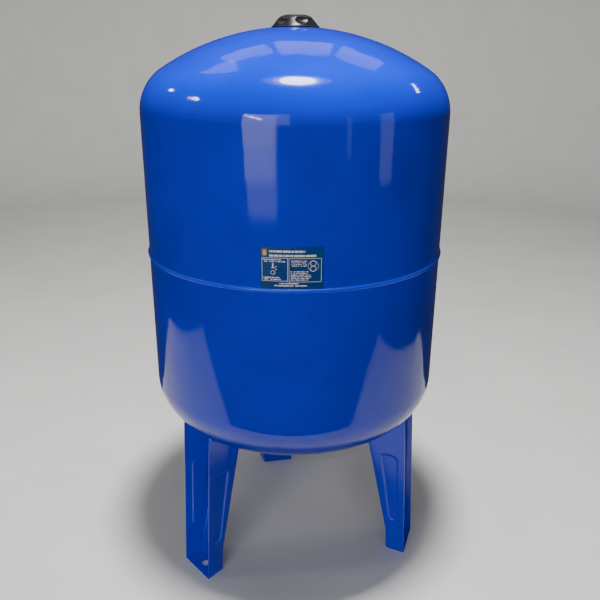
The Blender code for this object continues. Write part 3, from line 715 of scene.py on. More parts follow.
class VESSEL_OT_shells(bpy.types.Operator):
    """Make the upper and lower shells, pressed steel with joggled rims"""

    bl_idname = "vessel.shells"
    bl_label = "Tank shells"

    def execute(self, context):
        shape = context.scene.vessel_shape
        form = TankForm(shape)
        self.upper(context, form, shape)
        self.lower(context, form, shape)
        return {"FINISHED"}

    def upper(self, context, form, shape):
        outer = [(r, form.middle_z + h) for r, h in form.head(0.0, form.mouth)]
        inner = [(r, form.middle_z + h) for r, h in form.head(form.sheet, form.mouth, 12, 12)]
        rim = [(form.radius, form.rim_z), (form.radius - form.sheet, form.rim_z)]
        bm = turned(outer + rim + inner[::-1], shape.sides)
        piece("tank_top", bm, paint(context), "root", "blue_paint", "upper_shell")

    def lower(self, context, form, shape):
        rim_z = form.rim_z - CLEARANCE
        skirt = form.radius - form.sheet - CLEARANCE
        edge = 0.0006
        rise = 0.0008
        run = 0.004
        outer = [(r, form.middle_z - h) for r, h in form.head(0.0, form.seat)][::-1]
        inner = [(r, form.middle_z - h) for r, h in form.head(form.sheet, form.seat, 12, 12)]
        profile = [(skirt, rim_z + shape.joggle), (skirt, rim_z + rise), (form.radius - edge, rim_z)]
        profile += [(form.radius, rim_z - edge)] + outer
        profile += [(shape.neck, form.seat_z), (shape.neck, form.seat_z + form.sheet)] + inner
        profile += [(form.radius - form.sheet, rim_z - run), (skirt - form.sheet, rim_z)]
        profile += [(skirt - form.sheet, rim_z + shape.joggle)]
        bm = turned(profile, shape.sides)
        tank = piece("tank_bottom", bm, paint(context), "root", "blue_paint", "lower_shell")
        low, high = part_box("washer_1")
        hole_r = (high.x - low.x) / 2 * 0.54
        drill(tank, hole_r, form.seat_z, 0.02, 32)


class VESSEL_OT_girth_weld(bpy.types.Operator):
    """Make the weld bead that joins the two shells"""

    bl_idname = "vessel.girth_weld"
    bl_label = "Girth weld"

    def execute(self, context):
        low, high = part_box("girth_weld")
        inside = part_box("upper_shell")[1].x + UNDER_BEAD
        half = (high.z - low.z) / 2
        centre = (high.z + low.z) / 2
        proud = high.x - inside
        steps = 14
        profile = [(inside, centre + half)]
        for i in range(1, steps):
            angle = math.pi * i / steps
            profile.append((inside + proud * math.sin(angle), centre + half * math.cos(angle)))
        profile.append((inside, centre - half))

        def wander(angle, radius, height):
            """The bead's face rises and falls slightly along its length."""
            place = Vector((math.sin(angle), math.cos(angle), 0.0)) * 22.0
            return inside + (radius - inside) * (0.93 + 0.07 * noise.noise(place))

        bm = turned(profile, 576, wander)
        finish = highlit_weld_paint(context)
        piece("girth_weld_bead", bm, finish, "root", "blue_paint", "girth_weld", crease=60.0)
        return {"FINISHED"}


class VESSEL_OT_data_label(bpy.types.Operator):
    """Make the printed film on the front of the tank"""

    bl_idname = "vessel.data_label"
    bl_label = "Data label"

    def execute(self, context):
        low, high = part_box("data_label")
        radius = -low.y
        angles = [math.atan2(v.co.x, -v.co.y) for v in frame["nodes"]["data_label"].data.vertices]
        first, last = min(angles), max(angles)
        columns = 48
        corner = 0.0015
        film = 0.00028
        bm = bmesh.new()
        rows = []
        for i in range(columns + 1):
            share = i / columns
            angle = first + (last - first) * share
            edge = min(share, 1 - share) * (last - first) * radius
            trim = 0.0
            if edge < corner:
                trim = corner - math.sqrt(corner**2 - (corner - edge) ** 2)
            bottom = low.z + trim
            top = high.z - trim
            loop = []
            for depth, z in ((film, bottom), (film, top), (0.0, top), (0.0, bottom)):
                r = radius - depth
                loop.append(bm.verts.new((r * math.sin(angle), -r * math.cos(angle), z)))
            rows.append(loop)
        for near, far in zip(rows, rows[1:]):
            join(bm, near, far)
        bm.faces.new(rows[0])
        bm.faces.new(rows[-1])
        bmesh.ops.recalc_face_normals(bm, faces=bm.faces)
        finish = label_material(context.scene.vessel_colors, radius, first, last, high.z)
        piece("printed_label", bm, finish, "root", "label_film", "data_label")
        return {"FINISHED"}


# The legs -----------------------------------------------------------------------------------------
class LegForm:
    """Outer faces of a leg in its own axes: X away from the tank's axis, Y across, Z up."""

    RIB_FLOOR = 0.059  # heights of the rib's ends
    RIB_TOP = 0.187
    RIB_EDGE = 0.011  # the rib's outer side, from the free edge
    RIB_BACK_FLOOR = 0.0285  # its other side at each end, as its outline is drawn
    RIB_BACK_TOP = 0.0412
    RIB_WALL_FLOOR = 0.0275  # the same, as the mesh follows it
    RIB_WALL_TOP = 0.0415
    RIB_CORNER = 0.0083  # radius of its corners
    HEAD_Z = 0.23  # first guess of where a leg meets the head
    ROUNDS = 8  # times the guess is bettered
    BEND_STEPS = 6
    WEB_STEPS = 5

    def __init__(self, shape, form):
        self.shape = shape
        self.form = form

    def section(self, z):
        """(free edge distance, half width, web distance, half width) at a height."""
        s = self.shape
        rise = z / s.gauge
        free_r = s.free_low + (s.free_high - s.free_low) * rise
        free_w = s.free_half_low + (s.free_half_high - s.free_half_low) * rise
        if z < s.kink:
            part = z / s.kink
            web_r = s.web_low + (s.web_kink - s.web_low) * part
            web_w = s.web_half_low + (s.web_half_kink - s.web_half_low) * part
        else:
            part = (z - s.kink) / (s.gauge - s.kink)
            web_r = s.web_kink + (s.web_high - s.web_kink) * part
            web_w = s.web_half_kink + (s.web_half_high - s.web_half_kink) * part
        return free_r, free_w, web_r, web_w

    def rib_inner(self, z):
        """Distance from the free edge to the rib's wall on the web's side."""
        share = (z - self.RIB_FLOOR) / (self.RIB_TOP - self.RIB_FLOOR)
        return self.RIB_WALL_FLOOR + (self.RIB_WALL_TOP - self.RIB_WALL_FLOOR) * share

    def rib(self, s, z):
        """Depth of the pressed rib at s from the free edge and height z."""
        corner = self.RIB_CORNER
        corners = (
            (self.RIB_EDGE + corner, self.RIB_TOP - corner),
            (self.RIB_BACK_TOP - corner, self.RIB_TOP - corner),
            (self.RIB_BACK_FLOOR - corner, self.RIB_FLOOR + corner),
            (self.RIB_EDGE + corner, self.RIB_FLOOR + corner),
        )
        reach = math.inf
        inside = True
        for i in range(4):
            ax, ay = corners[i - 1]
            bx, by = corners[i]
            ex, ey = bx - ax, by - ay
            px, py = s - ax, z - ay
            along = max(0.0, min(1.0, (px * ex + py * ey) / (ex * ex + ey * ey)))
            reach = min(reach, math.hypot(px - ex * along, py - ey * along))
            inside = inside and ex * py - ey * px <= 0.0
        depth_in = corner + reach if inside else corner - reach
        share = max(0.0, min(1.0, depth_in / self.shape.rib_draft))
        return self.shape.rib_depth * share * share * (3 - 2 * share)

    def columns(self, z):
        """Distances from the free edge along a flange, closer together over the rib's walls."""
        free_r, free_w, web_r, web_w = self.section(z)
        end = math.hypot(free_r - web_r, free_w - web_w) - self.shape.bend
        outer = self.RIB_EDGE
        inner = min(self.rib_inner(z), end - 0.004)
        marks = (0.0, outer - 0.001, outer + 0.0036, inner - 0.0046, inner + 0.0006, end)
        return spread(marks, (4, 7, 8, 7, 5))

    def half_outline(self, z, depth):
        """Points of one side of the channel, from the free edge to the middle of the web, at a depth
        into the sheet from its outer face."""
        free_r, free_w, web_r, web_w = self.section(z)
        along = Vector((web_r - free_r, web_w - free_w)).normalized()
        inward = Vector((-along.y, along.x))
        corner = Vector((free_r, free_w))
        points = []
        for s in self.columns(z):
            points.append(corner + along * s + inward * (depth + self.rib(s, z)))
        bend = self.shape.bend
        last = corner + along * self.columns(z)[-1]
        centre = last + inward * bend
        sweep = (-inward).angle_signed(Vector((-1.0, 0.0)))
        for i in range(1, self.BEND_STEPS + 1):
            arm = Matrix.Rotation(-sweep * i / self.BEND_STEPS, 2) @ (-inward)
            slip = Vector(((web_r + bend - centre.x) * i / self.BEND_STEPS, 0.0))
            points.append(centre + arm * (bend - depth) + slip)
        for i in range(1, self.WEB_STEPS + 1):
            points.append(Vector((web_r + depth, centre.y * (1 - i / self.WEB_STEPS))))
        return points

    def heights(self):
        """Fixed heights of the rows, closer together over the ends of the rib."""
        low, high = self.RIB_FLOOR, self.RIB_TOP
        marks = (0.0, self.shape.kink, low - 0.003, low + 0.013, high - 0.015, high + 0.003, self.shape.gauge)
        return spread(marks, (4, 4, 12, 22, 13, 1))

    def top_row(self, depth):
        """Points where the channel's outline meets the bottom head."""
        count = len(self.half_outline(self.shape.gauge, depth))
        found = []
        for index in range(count):
            z = self.HEAD_Z
            for _ in range(self.ROUNDS):
                point = self.half_outline(z, depth)[index]
                z = self.form.bottom_z(point.length, CLEARANCE)
            found.append((point.x, point.y, z))
        return found

    def grid(self, depth):
        """Rows of points of the whole channel, from one free edge round to the other."""
        rows = [[(p.x, p.y, z) for p in self.half_outline(z, depth)] for z in self.heights()]
        top = self.top_row(depth)
        last = rows[-1]
        steps = 8
        for i in range(1, steps + 1):
            share = i / steps
            rows.append([tuple(a + (b - a) * share for a, b in zip(p, q)) for p, q in zip(last, top)])
        return [row + [(x, -y, z) for x, y, z in row[-2::-1]] for row in rows]

    def channel(self):
        """The pressed sheet as a closed body."""
        bm = bmesh.new()
        faces = []
        for depth in (0.0, self.shape.sheet):
            faces.append([[bm.verts.new(p) for p in row] for row in self.grid(depth)])
        outer, inner = faces
        for skin in faces:
            for low, high in zip(skin, skin[1:]):
                for i in range(len(low) - 1):
                    bm.faces.new((low[i], low[i + 1], high[i + 1], high[i]))
        for row in (0, -1):
            for i in range(len(outer[0]) - 1):
                bm.faces.new((outer[row][i], outer[row][i + 1], inner[row][i + 1], inner[row][i]))
        for end in (0, -1):
            for i in range(len(outer) - 1):
                bm.faces.new((outer[i][end], outer[i + 1][end], inner[i + 1][end], inner[i][end]))
        return bm

    def foot_plate(self, bm, hole_r):
        """Adds the plate between the flanges, with its anchor hole."""
        free_r, free_w, web_r, web_w = self.section(0.0)
        sheet = self.shape.sheet
        inset = sheet * 0.8
        corners = [
            Vector((free_r, -free_w + inset)),
            Vector((free_r, free_w - inset)),
            Vector((web_r + inset, web_w - inset)),
            Vector((web_r + inset, -web_w + inset)),
        ]
        count = 48
        edge = []
        for i in range(count):
            position = i / count * 4
            side = int(position)
            edge.append(corners[side].lerp(corners[(side + 1) % 4], position - side))
        centre = Vector((hole_r, 0.0))
        rim = [centre + (point - centre).normalized() * self.shape.hole for point in edge]
        rings = []
        for points, z in ((edge, 0.0), (rim, 0.0), (rim, sheet), (edge, sheet)):
            rings.append([bm.verts.new((*point, z)) for point in points])
        for near, far in zip(rings, rings[1:] + rings[:1]):
            join(bm, near, far)

    def bead_path(self, clear):
        """The line of the weld along the channel's outer face, under the head."""
        first_column = 3
        step = 0.0009
        half = []
        for index in range(first_column, len(self.half_outline(self.shape.gauge, 0.0)) - 1):
            z = self.HEAD_Z
            for _ in range(self.ROUNDS):
                outline = self.half_outline(z, 0.0)
                before, here, after = outline[index - 1], outline[index], outline[index + 1]
                along = (after - before).normalized()
                point = here + Vector((along.y, -along.x)) * clear
                z = self.form.bottom_z(point.length, clear * 0.9)
            half.append(Vector((point.x, point.y, z)))
        mirrored = [Vector((p.x, -p.y, p.z)) for p in reversed(half)]
        return resampled(half + mirrored, step)


def spread(marks, counts):
    """Values from the first mark to the last, with a count of even steps between each two marks."""
    values = []
    for first, last, count in zip(marks, marks[1:], counts):
        values += [first + (last - first) * i / count for i in range(count)]
    return values + [marks[-1]]


def resampled(points, step):
    """Points at an even distance along a line of points."""
    spaced = [points[0]]
    left = step
    for start, end in zip(points, points[1:]):
        run = (end - start).length
        while run > 1e-9 and left <= run:
            spaced.append(start.lerp(end, left / run))
            left += step
        left -= run
    return spaced


def foot_holes():
    """Centre of each leg's anchor hole, by the leg's name."""
    centres = {}
    for opening in frame["record"]["physics"]["openings"]:
        if opening["name"].startswith("anchor_hole_"):
            low, high = opening["box_m"]
            name = opening["name"].replace("anchor_hole_", "")
            centres[name] = Vector(((low[0] + high[0]) / 2, (low[1] + high[1]) / 2))
    return centres


class VESSEL_OT_legs(bpy.types.Operator):
    """Make the three pressed channel legs and the beads that weld them to the tank"""

    bl_idname = "vessel.legs"
    bl_label = "Legs"

    def execute(self, context):
        leg = LegForm(context.scene.vessel_leg, TankForm(context.scene.vessel_shape))
        for name, hole in foot_holes().items():
            turn = Matrix.Rotation(math.atan2(hole.y, hole.x), 4, "Z")
            self.leg(context, leg, name, hole.length, turn)
            self.bead(context, leg, name, turn)
        return {"FINISHED"}

    def leg(self, context, leg, name, hole_r, turn):
        bm = leg.channel()
        leg.foot_plate(bm, hole_r)
        bmesh.ops.recalc_face_normals(bm, faces=bm.faces)
        bm.transform(turn)
        title = f"channel_leg_{name}"
        obj = piece(title, bm, paint(context), "root", "blue_paint", f"leg_{name}", crease=50.0)
        soften = obj.modifiers.new("painted edges", "BEVEL")
        soften.width = 0.00035
        soften.segments = 2
        soften.limit_method = "ANGLE"
        soften.angle_limit = math.radians(60.0)

    def bead(self, context, leg, name, turn):
        radius = 0.0021
        weave = 0.0026

        def ripple(distance):
            """Even ridges from the welder's weave, and an uneven swell."""
            swell = noise.noise(Vector((distance * 160, 0, 7)))
            return 1.0 + 0.05 * math.sin(TURN * distance / weave) + 0.12 * swell

        bm = tube(leg.bead_path(radius), radius, 12, ripple)
        bm.transform(turn)
        title = f"leg_bead_{name}"
        piece(title, bm, highlit_weld_paint(context), "root", "blue_paint", f"leg_weld_{name}", crease=70.0)


# The bottom connection ----------------------------------------------------------------------------
def thread(pitch, depth, first, last):
    """A shape for turned(): cuts a helical thread between two heights, fading out at both ends."""
    crest = 0.12  # share of the groove's rise that stays flat at the crest, and again at the root

    def cut(angle, radius, height):
        if not first < height < last:
            return radius
        phase = (height / pitch - angle / TURN) % 1.0
        groove = 1.0 - abs(2.0 * phase - 1.0)
        groove = min(1.0, max(0.0, (groove - crest) / (1.0 - 2 * crest)))
        fade = min(1.0, (height - first) / pitch, (last - height) / pitch)
        return radius - depth * groove * fade

    return cut


def levels(radius, first, last, count):
    """Points straight up or down a cylinder."""
    return [(radius, first + (last - first) * i / count) for i in range(count + 1)]


class VESSEL_OT_flange(bpy.types.Operator):
    """Make the bottom flange, the threaded inlet nipple and its weld"""

    bl_idname = "vessel.flange"
    bl_label = "Bottom flange"

    def execute(self, context):
        finish = zinc(context)
        self.plate(finish)
        self.nipple(finish)
        self.weld(finish)
        dress("counter_ring", finish)
        return {"FINISHED"}

    def plate(self, finish):
        low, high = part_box("flange_plate")
        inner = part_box("inlet_nipple")[1].x + CLEARANCE * 0.3
        above = [(inner, high.z, 0.0), (high.x, high.z, 0.0007)]
        below = [(high.x, low.z, 0.0009), (inner, low.z, 0.0)]
        bm = turned(filleted(above + below), 144)
        plate = piece("clamp_flange", bm, finish, "root", "zinc_plate", "flange_plate")
        hole_r = 0.0045
        drill(plate, hole_r, low.z, 0.03, 36)

    def nipple(self, finish):
        low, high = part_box("inlet_nipple")
        bore_r = 0.013
        bore_edge = 0.0006
        chamfer = 0.0012
        pitch = 0.00231
        depth = 0.00135
        start = low.z + chamfer
        stop = low.z + 0.021
        profile = [(bore_r, high.z), (high.x, high.z)]
        profile += levels(high.x, stop + pitch, start, 96)
        profile += [(high.x - chamfer, low.z), (bore_r + bore_edge, low.z), (bore_r, low.z + bore_edge)]
        bm = turned(profile, 72, thread(pitch, depth, start - pitch, stop))
        piece("threaded_nipple", bm, finish, "root", "zinc_plate", "inlet_nipple", crease=35.0)

    def weld(self, finish):
        low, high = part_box("nipple_weld")
        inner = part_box("inlet_nipple")[1].x + UNDER_BEAD
        steps = 8
        hollow = 0.9
        profile = [(inner, high.z + CLEARANCE)]
        for i in range(steps + 1):
            angle = math.pi / 2 * i / steps
            reach = (high.x - inner) * (1 - math.sin(angle)) ** hollow
            drop = (low.z - high.z) * (1 - math.cos(angle)) ** hollow
            profile.append((inner + reach, high.z + drop))

        def ripple(angle, radius, height):
            return inner + (radius - inner) * (0.93 + 0.07 * math.sin(angle * 52))

        bm = turned(profile, 312, ripple)
        piece("nipple_fillet", bm, finish, "root", "zinc_plate", "nipple_weld", crease=70.0)


class VESSEL_OT_fasteners(bpy.types.Operator):
    """Make the six bolts, washers and nuts of the flange"""

    bl_idname = "vessel.fasteners"
    bl_label = "Bolts, washers and nuts"

    FLATS = 0.0065  # half the width over the flats
    HOLE = 0.0043  # radius of the hole in washers and nuts

    def execute(self, context):
        finish = zinc(context)
        for number, centre in bolt_centres().items():
            facing = math.atan2(centre.x, -centre.y)
            place = Matrix.Translation((centre.x, centre.y, 0.0)) @ Matrix.Rotation(facing, 4, "Z")
            for make, node, title in (
                (self.bolt, "flange_bolt", "hex_bolt"),
                (self.washer, "washer", "plain_washer"),
                (self.nut, "nut", "hex_nut"),
            ):
                node = f"{node}_{number}"
                bm = make(node)
                bm.transform(place)
                piece(f"{title}_{number}", bm, finish, "root", "zinc_plate", node, crease=32.0)
        return {"FINISHED"}

    def hexagonal(self, half_flats, low, high):
        """A shape that trims a turned profile to a hexagon between two heights."""

        def trim(angle, radius, height):
            inside = low - 1e-6 < height < high + 1e-6
            return min(radius, hexagon(angle, half_flats)) if inside else radius

        return trim

    def bolt(self, node):
        low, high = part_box(node)
        shank = 0.004
        flats = self.FLATS
        point = flats * HEX_POINT
        head = high.z - 0.005
        bevel = 0.0009
        plain = 0.012
        pitch = 0.00125
        depth = 0.0006
        profile = [(0.0, high.z), (flats * 0.94, high.z), (point, high.z - bevel), (point, head)]
        profile += [(shank, head)]
        profile += levels(shank, head - depth, low.z + bevel, 110)
        profile += [(shank - bevel, low.z), (0.0, low.z)]
        trim = self.hexagonal(flats, head, high.z)
        cut = thread(pitch, depth, low.z - pitch, head - plain)

        def shape(angle, radius, height):
            return cut(angle, trim(angle, radius, height), height) if radius > shank * 0.9 else radius

        return turned(profile, 48, shape, solid=True)

    def washer(self, node):
        low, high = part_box(node)
        outer = 0.008
        inner = self.HOLE
        above = [(inner, high.z, 0.0), (outer, high.z, 0.0003)]
        below = [(outer, low.z, 0.0004), (inner, low.z, 0.0002)]
        return turned(filleted(above + below), 60)

    def nut(self, node):
        low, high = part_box(node)
        flats = self.FLATS
        face = flats * 0.96
        point = flats * HEX_POINT
        hole = self.HOLE
        edge = 0.0005
        profile = [(hole, high.z), (face, high.z), (point, high.z - 0.0007), (point, low.z + 0.0009)]
        profile += [(face, low.z), (hole + edge, low.z), (hole, low.z + edge)]
        trim = self.hexagonal(flats, low.z, high.z)
        return turned(profile, 60, lambda a, r, z: trim(a, r, z) if r > flats * 0.9 else r)


# The air valve and its cap ------------------------------------------------------------------------
class VESSEL_OT_air_valve(bpy.types.Operator):
    """Make the valve boss with its thread, and finish the valve inside it"""

    bl_idname = "vessel.air_valve"
    bl_label = "Air valve"

    def execute(self, context):
        self.boss(context)
        self.stem(context)
        dress("valve_core", brass(context))
        dress("valve_pin", steel(context))
        self.spring(context)
        for node in ("valve_gasket", "valve_pin_seal"):
            dress(node, rubber(context))
        return {"FINISHED"}

    def boss(self, context):
        low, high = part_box("valve_boss")
        bore_r = 0.0045
        cup_r = 0.01
        corner = 0.0006
        edge = 0.0005
        chamfer = 0.0007
        pitch = 0.002
        depth = 0.0007
        floor = low.z + 0.005
        runout = high.z - 0.0052
        profile = [(bore_r, floor), (cup_r - corner, floor), (cup_r, floor + corner)]
        profile += [(cup_r, high.z - edge), (cup_r + edge, high.z), (high.x - chamfer, high.z)]
        profile += levels(high.x, high.z - chamfer, runout, 28)
        profile += [(high.x, low.z), (bore_r, low.z)]
        cut = thread(pitch, depth, runout, high.z + pitch)
        bm = turned(profile, 72, lambda a, r, z: cut(a, r, z) if r > high.x - chamfer / 2 else r)
        piece("threaded_boss", bm, paint(context), "root", "blue_paint", "valve_boss", crease=35.0)
        self.fillet(context)

    def fillet(self, context):
        """The weld between the boss and the head, round on its outer side."""
        low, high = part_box("boss_weld")
        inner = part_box("valve_boss")[1].x + UNDER_BEAD
        form = TankForm(context.scene.vessel_shape)
        steps = 8
        profile = []
        for i in range(steps + 1):
            angle = math.pi / 2 * i / steps
            r = inner + (high.x - inner) * (1 - math.sin(angle))
            z = high.z - (high.z - low.z) * math.cos(angle)
            profile.append((r, max(z, form.top_z(r))))
        profile.append((inner, form.top_z(inner)))

        def ripple(angle, radius, height):
            return inner + (radius - inner) * (0.98 + 0.02 * math.sin(angle * 46))

        bm = turned(profile, 276, ripple)
        piece("boss_fillet", bm, highlit_weld_paint(context), "root", "blue_paint", "boss_weld", crease=70.0)

    def stem(self, context):
        low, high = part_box("valve_stem")
        hex_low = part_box("valve_gasket")[1].z + CLEARANCE
        hex_high = hex_low + 0.0035
        bore_r = 0.0026
        outer = 0.0039
        tail = 0.0042
        flats = 0.0075
        point = flats * HEX_POINT
        edge = 0.0005
        relief = hex_high + 0.001
        pitch = 0.0008
        depth = 0.0004
        profile = [(bore_r, high.z), (outer - edge, high.z)]
        profile += levels(outer, high.z - edge, relief, 80)
        profile += [(outer, hex_high), (flats * 0.95, hex_high), (point, hex_high - 0.0006)]
        profile += [(point, hex_low), (tail, hex_low), (tail, low.z), (bore_r, low.z)]
        cut = thread(pitch, depth, relief, high.z + pitch)

        def shape(angle, radius, height):
            if radius > tail:
                return min(radius, hexagon(angle, flats))
            return cut(angle, radius, height) if radius == outer else radius

        bm = turned(profile, 60, shape)
        piece("threaded_stem", bm, brass(context), "root", "brass", "valve_stem", crease=35.0)

    def spring(self, context):
        """A coil under the pin's collar. How far it would shorten as the pin goes down is worked out, but not
        applied.
        """
        low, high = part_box("valve_spring")
        wire = 0.0002
        radius = high.x - wire
        turns = 6
        steps = 24 * turns
        points = []
        for i in range(steps + 1):
            angle = TURN * turns * i / steps
            z = low.z + wire + (high.z - low.z - 2 * wire) * i / steps
            points.append(Vector((radius * math.cos(angle), radius * math.sin(angle), z)))
        bm = tube(points, wire, 8)
        finish = steel(context)
        coil = piece("coil_spring", bm, finish, "root", "zinc_plate", "valve_spring", crease=70.0)
        press = next(joint for joint in frame["joints"] if joint["name"] == "valve_press")
        travel = press["range_m"][1]
        keep = 1.0 - travel / (high.z - low.z)
        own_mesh(coil)


class VESSEL_OT_cover_cap(bpy.types.Operator):
    """Make the black cap with its six finger dimples, and its seal ring"""

    bl_idname = "vessel.cover_cap"
    bl_label = "Cover cap"

    TOP_R = 0.0150  # the flat top, round which the side begins
    WALL = 0.0027  # thickness of the top
    FIRST = 18.0  # degrees from the front to the first dimple
    BETWEEN = 60.0  # degrees from one dimple to the next
    FACING = (0.757, 0.0, 0.653)  # the way a dimple faces, out from the axis and up
    MIDDLE = (0.0268, 0.0069)  # middle of a dimple's rim, from the axis and below the top
    STAND_OFF = 0.0034  # from there out to the middle of the ball that presses it
    BALL = (0.0151, 0.0091, 0.006)  # that ball's half width, half height and depth
    SOFT = 0.00012  # rounding of the rim

    def execute(self, context):
        low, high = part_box("cover_cap")
        finish = material("moulded_cap_plastic", cap_material, context.scene.vessel_colors)
        bm = turned(self.profile(low.z, high.z, high.x), 360, solid=True)
        for vert in bm.verts:
            self.press(vert, high.z)
        bmesh.ops.recalc_face_normals(bm, faces=bm.faces)
        piece("dimpled_cap", bm, finish, "cap", "black_plastic", "cover_cap", crease=55.0)
        self.seal(context)
        return {"FINISHED"}

    def profile(self, base, top, rim):
        """Outside of the cap from the middle of its top to its rim, then the hollow under it."""
        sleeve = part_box("valve_boss")[1].x + 0.0004
        outside = [
            (0.0, top, 0.0),
            (self.TOP_R, top, 0.004),
            (0.0222, top - 0.0025, 0.010),
            (0.0270, top - 0.0072, 0.012),
            (0.0303, top - 0.0116, 0.008),
            (0.0326, top - 0.0144, 0.0012),
            (rim, base + 0.0010, 0.0008),
            (rim - 0.0002, base, 0.0003),
        ]
        under = top - self.WALL
        hollow = [
            (0.0315, base, 0.0003),
            (0.0312, base + 0.0029, 0.0004),
            (0.0225, base + 0.0029, 0.0005),
            (0.0225, base + 0.0081, 0.0010),
            (0.0192, under, 0.0010),
            (0.0178, under, 0.0004),
            (0.0178, base + 0.0048, 0.0004),
            (sleeve, base + 0.0048, 0.0003),
            (sleeve, under, 0.0008),
            (0.0, under, 0.0),
        ]
        return self.dense(filleted(outside + hollow, 6), 0.00035)

    def dense(self, points, step):
        """Splits long runs of a profile, so that the dimples have points to move."""
        least_r = self.TOP_R - 0.0005
        least_z = points[0][1] - 0.0155
        split = []
        for (r, z), (r2, z2) in zip(points, points[1:]):
            outer = min(r, r2) > least_r and min(z, z2) > least_z
            count = max(1, round(math.hypot(r2 - r, z2 - z) / step)) if outer else 1
            split += [(r + (r2 - r) * i / count, z + (z2 - z) * i / count) for i in range(count)]
        return split + [points[-1]]

    def press(self, vert, top):
        """Pushes a point of the outer side into the dimple it lies in."""
        radius = math.hypot(vert.co.x, vert.co.y)
        below = top - vert.co.z
        if radius < min(self.TOP_R + below * 0.9, 0.0245) or below > 0.0152:
            return
        azimuth = math.degrees(math.atan2(vert.co.x, -vert.co.y))
        number = round((azimuth - self.FIRST) / self.BETWEEN)
        turn = Matrix.Rotation(math.radians(self.FIRST + self.BETWEEN * number - 90.0), 3, "Z")
        normal = turn @ Vector(self.FACING)
        across = turn @ Vector((0.0, 1.0, 0.0))
        rise = normal.cross(across)
        centre = turn @ Vector((self.MIDDLE[0], 0.0, top - self.MIDDLE[1])) + normal * self.STAND_OFF
        away = vert.co - centre
        half_width, half_height, hollow = self.BALL
        flat = (away.dot(across) / half_width) ** 2 + (away.dot(rise) / half_height) ** 2
        depth = away.dot(normal) + hollow * math.sqrt(max(0.0, 1.0 - flat))
        if depth > -0.004:
            vert.co -= normal * (0.5 * (depth + math.hypot(depth, self.SOFT)))

    def seal(self, context):
        low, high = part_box("cover_cap_seal")
        inner = 0.024
        above = [(inner, high.z, 0.0005), (high.x, high.z, 0.0005)]
        below = [(high.x, low.z, 0.0008), (inner, low.z, 0.0008)]
        bm = turned(filleted(above + below, 4), 96)
        piece("cap_seal_ring", bm, rubber(context), "cap_seal", "epdm", "cover_cap_seal")


class VESSEL_OT_membrane(bpy.types.Operator):
    """Finish the membrane inside the tank"""

    bl_idname = "vessel.membrane"
    bl_label = "Membrane"

    def execute(self, context):
        dress("bladder", rubber(context), 60.0)
        return {"FINISHED"}


